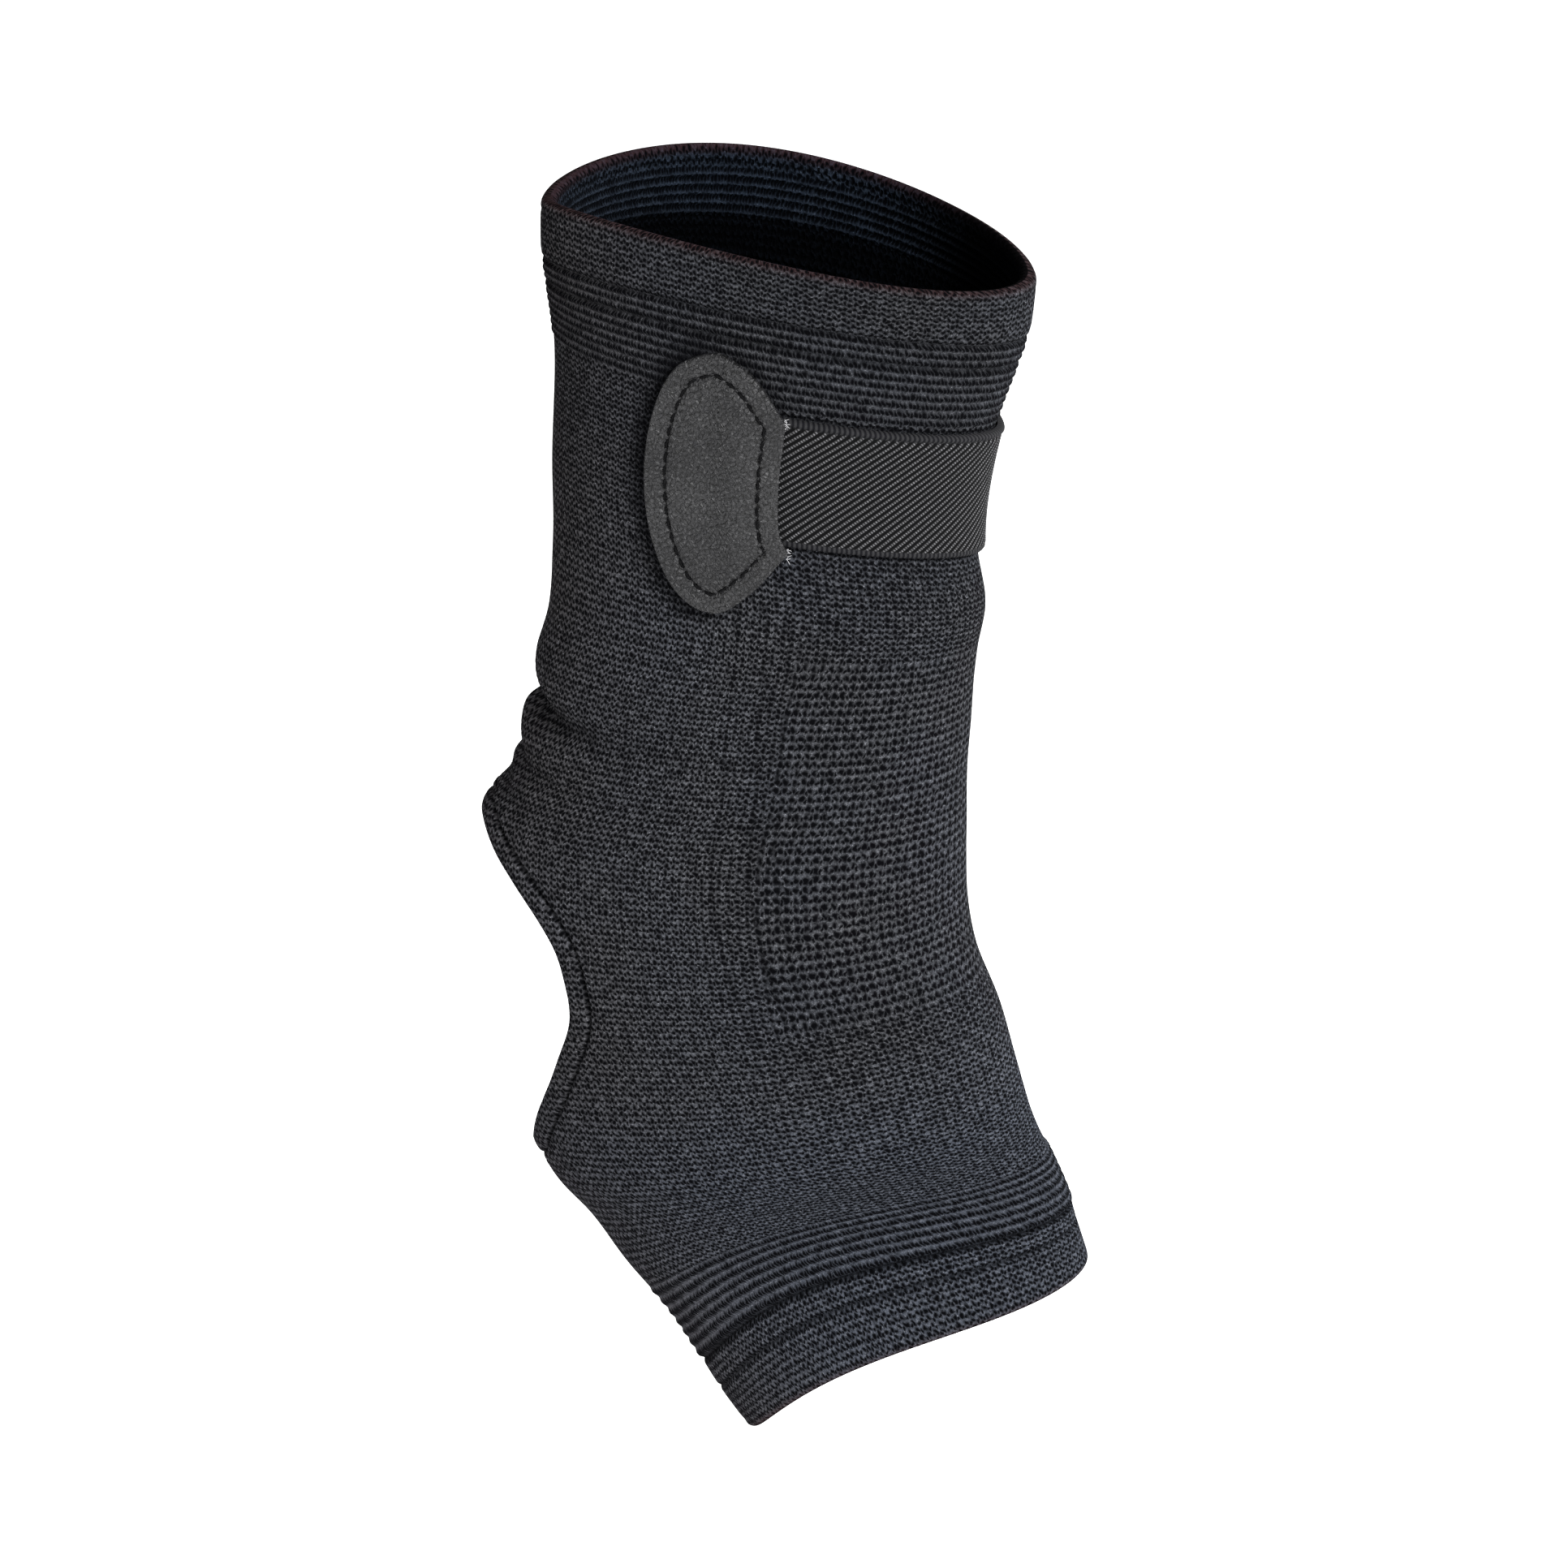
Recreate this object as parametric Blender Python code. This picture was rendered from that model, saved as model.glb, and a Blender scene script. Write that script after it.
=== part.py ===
"""Open-heel knitted ankle brace, held in its worn form.

Metres, +Z up the leg, +X towards the shin and the toes. The origin is the middle of the ankle.
Every piece is cut from one surface: a tube of tilted sections that runs from the opening at the
calf, down the leg, past the open heel and along the foot. A place on it is a depth below the top
opening, measured along the middle of the tube, and an angle round the leg, 0 at the shin,
positive on the near side (-Y) and half a turn at the back.
"""
import math

import bpy
import numpy as np

# Overall form
LEG_HEIGHT = 0.1324      # middle of the ankle up to the middle of the top opening
FOOT_DROP = 0.0890       # middle of the ankle down to the middle of the toe opening
TOP_WIDTH = 0.0892       # front to back
LEG_WIDTH = 0.0800
HEEL_WIDTH = 0.0910
TOE_WIDTH = 0.0730
TOP_DEPTH = 0.0600       # side to side
LEG_DEPTH = 0.0560
TOE_DEPTH = 0.0365

# Cloth, leather and elastic
WALL = 0.0013            # the knitted tube
FACING = 0.0011          # the turned-in layer at each end and round the heel
BAND_THICK = 0.0012
LEATHER = 0.0014
GAP = 0.0003             # between pieces that lie on each other

# Knitted ends
TOP_HEM = 0.0112
RIB_PITCH = 0.00151
RIB_COUNT = 10
RIB_RELIEF = 0.00035
HEM_RELIEF = 0.0004
TOP_FACING_DEEP = 0.0180
TOE_HEM = 0.0098
TOE_BAND = 0.0052        # plain stripe between the two toe grooves
TOE_RIB_PITCH = 0.0022
TOE_RIB_COUNT = 7
GROOVE_RELIEF = 0.0003
GROOVE_WIDE = 0.0008

# Creases above the heel
CREASE_DEPTH = 0.0042
CREASE_TALL = 0.0026
CREASE_RUN = 0.0075      # how far they run down on their way forward
CREASE_TURN = 0.45       # radians from the back over which they do most of it

# Open heel
HEEL_TOP = 0.0210        # height of its upper end above the ankle's middle
HEEL_LOW = 0.0364        # depth of its lower end under it
HEEL_BITE = 0.0139       # how far its near edge is cut forward
HEEL_HEM_WIDE = 0.0050
HEEL_HEM_GAP = 0.00095   # the hem turns a tight corner inside the wall

# Elastic band and its end patches
BAND_WIDE = 0.0240
BAND_BELOW_RIBS = 0.0010
BAND_UNDER_PATCH = 0.0080
PATCH_WIDE = 0.0245
PATCH_TALL = 0.0477
PATCH_FORWARD = -0.0061  # its middle from the middle of the ankle
PATCH_DROP = 0.0028      # its middle below the band's middle
PATCH_SEAT = 0.0008      # over the ribs of the sleeve
PATCH_RAMP = 0.0050      # where it climbs on to the band
PATCH_OVER_BAND = 0.0006

AROUND = 36              # faces round the tube
PACKING = 0.35           # how much narrower they are at the back and the shin

# The three sizes that a section's height and the rest are shares of: height, width and depth.
TOP = (LEG_HEIGHT, TOP_WIDTH, TOP_DEPTH)
LEG = (LEG_HEIGHT, LEG_WIDTH, LEG_DEPTH)
ANKLE = (LEG_HEIGHT, HEEL_WIDTH, LEG_DEPTH)
HEEL = (FOOT_DROP, HEEL_WIDTH, LEG_DEPTH)
FOOT = (FOOT_DROP, TOE_WIDTH, TOE_DEPTH)

# A row for each section: its sizes; height of its middle; middle forward of the ankle and width,
# in shares of the width; tilt in degrees with the front up; depth of the near and the far half,
# in shares of the depth; skew of the near and the far half with its fullest place forward; how far
# the middle of the near and the far half rides up out of the tilt, in shares of the depth.
SECTIONS = (
    (TOP, 1.000, 0.075, 1.000, -9.0, 0.375, 0.66, 0.38, 0.05, 0.00, 0.07),
    (TOP, 0.920, 0.068, 0.988, -9.5, 0.30, 0.64, 0.18, 0.05, 0.00, 0.04),
    (LEG, 0.801, 0.053, 1.020, -11.5, 0.36, 0.63, -0.05, -0.08, 0.00, 0.00),
    (LEG, 0.611, 0.029, 0.986, -11.3, 0.36, 0.61, -0.15, -0.10, 0.00, 0.00),
    (LEG, 0.517, 0.040, 0.999, -8.8, 0.38, 0.59, -0.08, -0.05, 0.00, 0.00),
    (LEG, 0.434, 0.025, 0.988, -5.2, 0.40, 0.58, 0.00, 0.00, 0.00, 0.00),
    (LEG, 0.384, 0.006, 1.008, -3.2, 0.42, 0.57, 0.05, 0.05, 0.00, 0.00),
    (LEG, 0.307, -0.014, 1.031, -1.5, 0.43, 0.57, 0.10, 0.10, 0.00, 0.00),
    (LEG, 0.238, -0.034, 1.054, -1.0, 0.44, 0.56, 0.14, 0.12, 0.00, 0.00),
    (ANKLE, 0.159, -0.060, 0.986, -0.4, 0.45, 0.55, 0.17, 0.15, 0.00, 0.00),
    (ANKLE, 0.090, -0.065, 0.997, 0.9, 0.45, 0.55, 0.17, 0.15, 0.00, 0.00),
    (ANKLE, 0.017, -0.057, 0.991, 3.1, 0.45, 0.55, 0.16, 0.15, 0.00, 0.00),
    (HEEL, -0.119, -0.034, 0.993, 5.7, 0.44, 0.54, 0.15, 0.14, 0.00, 0.00),
    (HEEL, -0.273, 0.009, 1.014, 7.6, 0.42, 0.52, 0.14, 0.12, 0.00, 0.00),
    (HEEL, -0.410, 0.042, 1.016, 9.3, 0.39, 0.50, 0.12, 0.10, 0.00, 0.00),
    (HEEL, -0.494, 0.075, 0.990, 11.4, 0.37, 0.49, 0.10, 0.10, 0.01, 0.01),
    (FOOT, -0.562, 0.144, 1.177, 13.9, 0.52, 0.73, 0.10, 0.10, 0.05, 0.05),
    (FOOT, -0.647, 0.201, 1.134, 18.3, 0.47, 0.71, 0.10, 0.10, 0.15, 0.15),
    (FOOT, -0.739, 0.274, 1.090, 22.4, 0.41, 0.69, 0.12, 0.10, 0.24, 0.24),
    (FOOT, -0.828, 0.331, 1.069, 24.4, 0.38, 0.67, 0.16, 0.10, 0.26, 0.26),
    (FOOT, -0.902, 0.373, 1.049, 27.4, 0.37, 0.66, 0.22, 0.10, 0.24, 0.24),
    (FOOT, -1.000, 0.433, 1.012, 29.0, 0.38, 0.66, 0.27, 0.10, 0.15, 0.15),
)

# A row for each crease at the back: height, depth, thickness, and its reach round from the back
# in radians.
CREASES = (
    (0.352 * LEG_HEIGHT, 1.00 * CREASE_DEPTH, 1.00 * CREASE_TALL, 0.75),
    (0.271 * LEG_HEIGHT, 0.38 * CREASE_DEPTH, 0.85 * CREASE_TALL, 0.65),
    (0.230 * LEG_HEIGHT, 0.24 * CREASE_DEPTH, 0.75 * CREASE_TALL, 0.50),
)

# A row for each place along the edge of the open heel: share of the way down it, and shares of
# its full bite on the near side and on the far side.
HEEL_EDGE = (
    (0.000, 0.00, 0.00),
    (0.100, 0.28, 0.27),
    (0.156, 0.47, 0.46),
    (0.260, 0.78, 0.86),
    (0.340, 0.94, 0.98),
    (0.430, 1.00, 1.03),
    (0.544, 0.98, 1.04),
    (0.700, 0.66, 0.90),
    (0.785, 0.46, 0.76),
    (0.890, 0.21, 0.43),
    (1.000, 0.00, 0.00),
)

# Rows of faces: shares of the way down the open heel, and of the way from a crease to its brink.
HEEL_ROWS = (0.0, 0.04, 0.10, 0.19, 0.30, 0.42, 0.55, 0.67, 0.78, 0.87, 0.95, 1.0)
CREASE_ROWS = (-1.5, -0.65, 0.0, 0.65, 1.5)
OUTER_ROW = 0.0070       # spacing of the rows over smooth cloth
INNER_ROW = 0.0120
NEAREST_ROW = 0.0003

# A row for each place on the outline of a patch: forward and up from its middle in shares of its
# width and height, and whether the outline turns a corner there.
PATCH_OUTLINE = (
    (-0.012, 0.500, False),
    (0.151, 0.470, False),
    (0.306, 0.402, False),
    (0.489, 0.253, True),
    (0.440, 0.030, False),
    (0.436, -0.170, False),
    (0.500, -0.265, True),
    (0.252, -0.412, False),
    (-0.021, -0.500, False),
    (-0.291, -0.416, False),
    (-0.455, -0.210, False),
    (-0.500, 0.030, False),
    (-0.438, 0.268, False),
    (-0.280, 0.443, False),
)


def smooth_table(at, values):
    """A smooth curve through a table's rows, as a function of the first column."""
    at = np.asarray(at, float)
    values = np.asarray(values, float)
    slopes = np.gradient(values, at, axis=0)

    def read(where):
        where = np.clip(np.asarray(where, float), at[0], at[-1])
        low = np.clip(np.searchsorted(at, where, side="right") - 1, 0, len(at) - 2)
        span = (at[low + 1] - at[low])
        t = (where - at[low]) / span
        t = t[..., None]
        span = span[..., None]
        start = (1 + 2 * t) * (1 - t) ** 2 * values[low] + t * (1 - t) ** 2 * span * slopes[low]
        end = t * t * (3 - 2 * t) * values[low + 1] - t * t * (1 - t) * span * slopes[low + 1]
        return start + end

    return read


def sized(row):
    """A section's row with its shares made into lengths."""
    (tall, wide, thick), height, forward, width, tilt, near, far, near_skew, far_skew, near_rise, far_rise = row
    place = (height * tall, forward * wide, width * wide, tilt)
    return place + (near * thick, far * thick, near_skew, far_skew, near_rise * thick, far_rise * thick)


TABLE = np.array([sized(row) for row in SECTIONS])
STEPS = np.hypot(np.diff(TABLE[:, 0]), np.diff(TABLE[:, 1]))
DEPTHS = np.concatenate(([0.0], np.cumsum(STEPS)))     # below the top opening, along the middle
TOE_DEEP = DEPTHS[-1]
read_section = smooth_table(DEPTHS, TABLE)
read_heel_edge = smooth_table([row[0] for row in HEEL_EDGE], [row[1:] for row in HEEL_EDGE])


def depth_at_height(height):
    """Depth below the top opening of the section whose middle is at this height."""
    return float(np.interp(-height, -TABLE[:, 0], DEPTHS))


def crease_run(away):
    """How far the creases have run down at this angle away from the back."""
    return CREASE_RUN * (1 - np.exp(-away / CREASE_TURN))


def crease_lift(deep, angle):
    """How far the creases above the heel pull the cloth in."""
    from_back = math.pi - np.abs(angle)
    lift = np.zeros(np.broadcast(deep, angle).shape)
    for height, depth, tall, reach in CREASES:
        below = (deep - depth_at_height(height) - crease_run(from_back)) / tall
        lift = lift - depth * np.exp(-below ** 2 - (from_back / reach) ** 2)
    return lift


def surface(deep, angle, lift=0.0):
    """Points of the tube, lifted outwards; deep and angle are arrays of one shape."""
    deep, angle = np.broadcast_arrays(np.asarray(deep, float), np.asarray(angle, float))
    columns = np.moveaxis(read_section(deep), -1, 0)
    height, forward, width, tilt, near, far, near_skew, far_skew, near_rise, far_rise = columns
    lift = lift + crease_lift(deep, angle)
    across = np.cos(angle)
    side = np.sin(angle)
    half = width / 2 + lift
    depth = np.where(side >= 0, near, far)
    skew = np.where(side >= 0, near_skew, far_skew)
    fullness = np.sqrt((1 + skew * (1 + across)) * (1 - skew * (1 - across)))
    rise = np.where(side >= 0, near_rise, far_rise)
    ride = rise * side ** 2 * (1 - 0.5 * across)
    lean = np.radians(tilt)
    x = forward + half * across * np.cos(lean) - ride * np.sin(lean)
    z = height + half * across * np.sin(lean) + ride * np.cos(lean)
    y = -side * (depth * fullness + lift)
    return np.stack((x, y, z), axis=-1)


def place_at_side(x, z, near=True):
    """Depth and angle of the surface point at this place in the side view."""
    low, high = 0.0, TOE_DEEP
    for _ in range(50):
        middle = (low + high) / 2
        height, forward, width, tilt = read_section(middle)[:4]
        lean = math.radians(tilt)
        above = -(x - forward) * math.sin(lean) + (z - height) * math.cos(lean)
        if above < 0:
            low = middle
        else:
            high = middle
    along = (x - forward) * math.cos(lean) + (z - height) * math.sin(lean)
    angle = math.acos(max(-1.0, min(1.0, along / (width / 2))))
    return middle, angle if near else -angle


def top_ribs_end():
    return TOP_HEM + RIB_COUNT * RIB_PITCH


def toe_ribs_start():
    return TOE_DEEP - TOE_HEM - TOE_BAND - TOE_RIB_COUNT * TOE_RIB_PITCH


def knit_lift(deep):
    """Hems, ribs and grooves on the outside of the sleeve."""
    deep = np.asarray(deep, float)
    toe_ribs_stop = toe_ribs_start() + TOE_RIB_COUNT * TOE_RIB_PITCH
    top_turn = 0.5 - 0.5 * np.cos(2 * math.pi * (deep - TOP_HEM) / RIB_PITCH)
    toe_turn = 0.5 - 0.5 * np.cos(2 * math.pi * (deep - toe_ribs_start()) / TOE_RIB_PITCH)
    lift = np.where(deep < TOP_HEM, HEM_RELIEF, 0.0)
    lift = np.where((deep >= TOP_HEM) & (deep <= top_ribs_end()), RIB_RELIEF * top_turn, lift)
    lift = np.where((deep >= toe_ribs_start()) & (deep <= toe_ribs_stop), RIB_RELIEF * toe_turn, lift)
    for groove in (toe_ribs_stop, TOE_DEEP - TOE_HEM):
        lift = lift - GROOVE_RELIEF * np.exp(-((deep - groove) / (GROOVE_WIDE / 2)) ** 2)
    return lift


HEEL_START = depth_at_height(HEEL_TOP)
HEEL_STOP = depth_at_height(-HEEL_LOW)


def heel_angles(deep):
    """Angles of the near and the far edge of the open heel at this depth."""
    share = (deep - HEEL_START) / (HEEL_STOP - HEEL_START)
    if share <= 0 or share >= 1:
        return math.pi, -math.pi
    near_bite, far_bite = HEEL_BITE * np.maximum(read_heel_edge(share), 0.0)
    half = float(read_section(deep)[2]) / 2
    near = math.acos(-1 + near_bite / half)
    far = math.acos(-1 + far_bite / half)
    return near, -far


def heel_rows():
    return [HEEL_START + share * (HEEL_STOP - HEEL_START) for share in HEEL_ROWS]


def row_bend(row, angles):
    """How far a row of faces is bent down, so that the rows run along the creases."""
    near, far = heel_angles(row)
    away = np.where(angles >= 0, near - angles, angles - far)
    first = depth_at_height(CREASES[0][0])
    last = depth_at_height(CREASES[-1][0])
    grow = (row - first + 2 * CREASE_RUN + 2 * CREASE_TALL) / (2 * CREASE_RUN)
    fade = 2 * (HEEL_STOP - row) / (HEEL_STOP - last) - 1
    share = min(1.0, max(0.0, min(grow, fade * 1.5)))
    return crease_run(away) * share * share * (3 - 2 * share)


def crease_rows():
    """Rows along the bottom, the sides and the brink of each crease."""
    rows = []
    for height, depth, tall, reach in CREASES:
        middle = depth_at_height(height)
        rows += [middle + share * tall for share in CREASE_ROWS]
    return rows


def even_rows(start, stop, spacing):
    count = max(1, round((stop - start) / spacing))
    return [start + (stop - start) * step / count for step in range(count + 1)]


def rib_rows(start, pitch, count):
    return [start + pitch * step / 2 for step in range(2 * count + 1)]


def band_rows():
    start = top_ribs_end() + BAND_BELOW_RIBS
    return even_rows(start, start + BAND_WIDE, BAND_WIDE / 4)


def sorted_rows(rows):
    """Rows in order, without any that come closer than the nearest spacing."""
    kept = []
    fixed = set(heel_rows())
    for row in sorted(rows):
        if kept and row - kept[-1] < NEAREST_ROW:
            if row in fixed or row >= TOE_DEEP:
                kept[-1] = row
            continue
        kept.append(row)
    return kept


def outer_rows():
    toe_start = toe_ribs_start()
    toe_stop = toe_start + TOE_RIB_COUNT * TOE_RIB_PITCH
    toe_groove = TOE_DEEP - TOE_HEM
    rows = [0.0, TOP_HEM / 2, TOP_HEM - GAP]
    rows += rib_rows(TOP_HEM, RIB_PITCH, RIB_COUNT)
    rows += band_rows()
    rows += even_rows(band_rows()[-1], crease_rows()[0], OUTER_ROW)[:-1]
    rows += crease_rows()
    rows += heel_rows()
    rows += even_rows(HEEL_STOP, toe_start, OUTER_ROW)
    rows += rib_rows(toe_start, TOE_RIB_PITCH, TOE_RIB_COUNT)
    rows += [toe_stop + GROOVE_WIDE, toe_groove - GROOVE_WIDE, toe_groove, toe_groove + GROOVE_WIDE]
    rows += [(toe_groove + TOE_DEEP) / 2, TOE_DEEP]
    return sorted_rows(rows)


def top_facing_rows():
    return even_rows(0.0, TOP_FACING_DEEP, TOP_FACING_DEEP / 3)


def toe_facing_rows():
    return even_rows(TOE_DEEP - TOE_HEM, TOE_DEEP, TOE_HEM / 2)


def inner_rows():
    rows = top_facing_rows()
    rows += even_rows(TOP_FACING_DEEP, crease_rows()[0], INNER_ROW)[:-1]
    rows += crease_rows()
    rows += heel_rows()
    rows += even_rows(HEEL_STOP, TOE_DEEP - TOE_HEM, INNER_ROW)
    rows += toe_facing_rows()
    return sorted_rows(rows)


def clear_scene():
    for thing in list(bpy.data.objects):
        bpy.data.objects.remove(thing, do_unlink=True)


def make_material(name, colour, roughness):
    material = bpy.data.materials.new(name)
    material.use_nodes = True
    shader = material.node_tree.nodes["Principled BSDF"]
    shader.inputs["Base Color"].default_value = (*colour, 1.0)
    shader.inputs["Roughness"].default_value = roughness
    shader.inputs["Metallic"].default_value = 0.0
    return material


def make_object(name, points, faces, material):
    mesh = bpy.data.meshes.new(name)
    mesh.from_pydata([tuple(map(float, point)) for point in points], [], faces)
    mesh.materials.append(material)
    mesh.validate()
    mesh.update()
    mesh.shade_smooth()
    mesh.set_sharp_from_angle(angle=math.radians(50))
    thing = bpy.data.objects.new(name, mesh)
    bpy.context.scene.collection.objects.link(thing)
    return thing


def column_angles(near, far):
    """Angles of the columns round one row, from its near edge at the back to its far edge."""
    share = np.arange(AROUND + 1) / AROUND
    share = share - PACKING * np.sin(4 * math.pi * share) / (4 * math.pi)
    return near + (far - near) * share


def tube_layer(rows, lift_of, points):
    """Adds one layer of a tube to the points and returns the point number at each row and column."""
    numbers = []
    for row in rows:
        angles = column_angles(*heel_angles(row))
        ring = surface(row + row_bend(row, angles), angles, lift_of(row))
        is_open = HEEL_START < row < HEEL_STOP
        count = AROUND + 1 if is_open else AROUND
        first = len(points)
        points.extend(ring[:count])
        numbers.append([first + column % count for column in range(AROUND + 1)])
    return numbers


def halves(square, flip):
    """A square's two triangles, always on the same diagonal, so that nested layers stay clear."""
    first, second, third, fourth = square[::-1] if flip else square
    if flip:
        return [(first, second, fourth), (second, third, fourth)]
    return [(first, second, third), (first, third, fourth)]


def layer_faces(numbers, outward):
    faces = []
    for upper, lower in zip(numbers, numbers[1:]):
        for column in range(AROUND):
            square = (upper[column], upper[column + 1], lower[column + 1], lower[column])
            faces += halves(square, outward)
    return faces


def end_faces(outer, inner, at_top):
    faces = []
    for column in range(AROUND):
        face = (outer[column], outer[column + 1], inner[column + 1], inner[column])
        faces.append(face if at_top else face[::-1])
    return faces


def heel_wall_faces(outer_at, inner_at, column):
    """The cut edge of the wall along one side of the open heel."""
    rows = heel_rows()
    faces = []
    for upper, lower in zip(rows, rows[1:]):
        above = (outer_at[upper][column], inner_at[upper][column])
        face = above + (inner_at[lower][column], outer_at[lower][column])
        kept = tuple(dict.fromkeys(face))
        faces.append(kept if column == 0 else kept[::-1])
    return faces


def build_sleeve(material):
    points = []
    outside = outer_rows()
    inside = inner_rows()
    outer = tube_layer(outside, knit_lift, points)
    inner = tube_layer(inside, lambda row: -WALL, points)
    faces = layer_faces(outer, True) + layer_faces(inner, False)
    faces += end_faces(outer[0], inner[0], True)
    faces += end_faces(outer[-1], inner[-1], False)
    outer_at = dict(zip(outside, outer))
    inner_at = dict(zip(inside, inner))
    faces += heel_wall_faces(outer_at, inner_at, 0)
    faces += heel_wall_faces(outer_at, inner_at, AROUND)
    return make_object("knit_sleeve", points, faces, material)


def build_facing(name, rows, material):
    """The turned-in layer inside one end of the sleeve."""
    points = []
    outer = tube_layer(rows, lambda row: -(WALL + GAP), points)
    inner = tube_layer(rows, lambda row: -(WALL + GAP + FACING), points)
    faces = layer_faces(outer, True) + layer_faces(inner, False)
    faces += end_faces(outer[0], inner[0], True)
    faces += end_faces(outer[-1], inner[-1], False)
    return make_object(name, points, faces, material)


def walk(deep, angle, direction, distance):
    """Depth and angle after a short way along the surface in a direction."""
    step = 0.0005
    here = surface(deep, angle)
    down = (surface(deep + step, angle) - here) / step
    turn = (surface(deep, angle + step) - here) / step
    shares = np.linalg.lstsq(np.stack((down, turn), axis=1), direction * distance, rcond=None)[0]
    return deep + shares[0], angle + shares[1]


def heel_loop(count=22):
    """Depth and angle round the open heel: down its near edge and up its far edge."""
    shares = [0.5 - 0.5 * math.cos(math.pi * step / count) for step in range(count + 1)]
    deeps = [HEEL_START + share * (HEEL_STOP - HEEL_START) for share in shares]
    near = [(deep, heel_angles(deep)[0]) for deep in deeps]
    far = [(deep, heel_angles(deep)[1]) for deep in deeps[1:-1]]
    return near + far[::-1]


def build_heel_hem(material):
    """The turned-in band of cloth inside the edge of the open heel."""
    loop = heel_loop()
    places = np.array([surface(deep, angle) for deep, angle in loop])
    middle = places.mean(axis=0)
    lifts = (-(WALL + HEEL_HEM_GAP), -(WALL + HEEL_HEM_GAP + FACING))
    points = []
    strips = []
    for number, (deep, angle) in enumerate(loop):
        along = places[(number + 1) % len(loop)] - places[number - 1]
        along = along / np.linalg.norm(along)
        away = places[number] - middle
        away = away - along * np.dot(away, along)
        away = away / np.linalg.norm(away)
        stations = [(deep, angle)]
        for _ in range(2):
            stations.append(walk(*stations[-1], away, HEEL_HEM_WIDE / 2))
        outer = [surface(*station, lifts[0]) for station in stations]
        inner = [surface(*station, lifts[1]) for station in stations]
        first = len(points)
        points.extend(outer + inner[::-1])
        strips.append([first + step for step in range(6)])
    faces = []
    for number, strip in enumerate(strips):
        after = strips[(number + 1) % len(strips)]
        for step in range(6):
            onward = (step + 1) % 6
            faces.append((strip[step], after[step], after[onward], strip[onward]))
    return make_object("heel_hem", points, faces, material)


def band_end_angles():
    """Angles of the band's hidden ends, under the near patch and under the far patch."""
    middle = (band_rows()[0] + band_rows()[-1]) / 2
    height, forward, width, tilt = read_section(middle)[:4]
    end = PATCH_FORWARD + PATCH_WIDE / 2 - BAND_UNDER_PATCH
    angle = math.acos((end - forward) / math.cos(math.radians(tilt)) / (width / 2))
    return angle, -angle


def build_band(material):
    near, far = band_end_angles()
    shared = column_angles(math.pi, -math.pi)
    inside = [angle for angle in shared if far + 0.02 < angle < near - 0.02]
    angles = np.array([near] + inside + [far])
    rows = band_rows()
    lower = np.array([surface(np.full(len(angles), row), angles, GAP) for row in rows])
    upper = np.array([surface(np.full(len(angles), row), angles, GAP + BAND_THICK) for row in rows])
    points = list(lower.reshape(-1, 3)) + list(upper.reshape(-1, 3))
    across = len(angles)
    top = len(rows) * across
    faces = []
    for row in range(len(rows) - 1):
        for column in range(across - 1):
            corner = row * across + column
            square = (corner, corner + 1, corner + 1 + across, corner + across)
            faces += halves(square, False)
            faces += halves([top + number for number in square], True)
    last = (len(rows) - 1) * across
    for column in range(across - 1):
        faces.append((top + column, top + column + 1, column + 1, column))
        faces.append((last + column, last + column + 1, top + last + column + 1, top + last + column))
    for row in range(len(rows) - 1):
        start = row * across
        stop = start + across - 1
        faces.append((top + start, start, start + across, top + start + across))
        faces.append((stop, top + stop, top + stop + across, stop + across))
    return make_object("elastic_band", points, faces, material)


def patch_edge():
    """The patch's outline with its round stretches filled in, in shares of its size."""
    count = len(PATCH_OUTLINE)
    edge = []
    for number, (forward, up, corner) in enumerate(PATCH_OUTLINE):
        here = np.array((forward, up))
        after = PATCH_OUTLINE[(number + 1) % count]
        beyond = PATCH_OUTLINE[(number + 2) % count]
        before = PATCH_OUTLINE[number - 1]
        there = np.array(after[:2])
        leave = there - here if corner else (there - np.array(before[:2])) / 2
        arrive = there - here if after[2] else (np.array(beyond[:2]) - here) / 2
        edge.append(here)
        edge.append((here + there) / 2 + (leave - arrive) / 8)
    return edge


def patch_place(forward, up, near):
    """Depth, angle and seat height of a point of the patch, given in shares of its size."""
    band_middle = (band_rows()[0] + band_rows()[-1]) / 2
    height, middle, width, tilt = read_section(band_middle)[:4]
    patch_height = height + (PATCH_FORWARD - middle) * math.tan(math.radians(tilt)) - PATCH_DROP
    x = PATCH_FORWARD + forward * PATCH_WIDE
    deep, angle = place_at_side(x, patch_height + up * PATCH_TALL, near)
    band_end = PATCH_FORWARD + PATCH_WIDE / 2 - BAND_UNDER_PATCH - PATCH_OVER_BAND
    climb = min(1.0, max(0.0, (x - band_end) / PATCH_RAMP + 1))
    climb = climb * climb * (3 - 2 * climb)
    on_band = GAP + BAND_THICK + PATCH_OVER_BAND
    return deep, angle, PATCH_SEAT + (on_band - PATCH_SEAT) * climb


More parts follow.
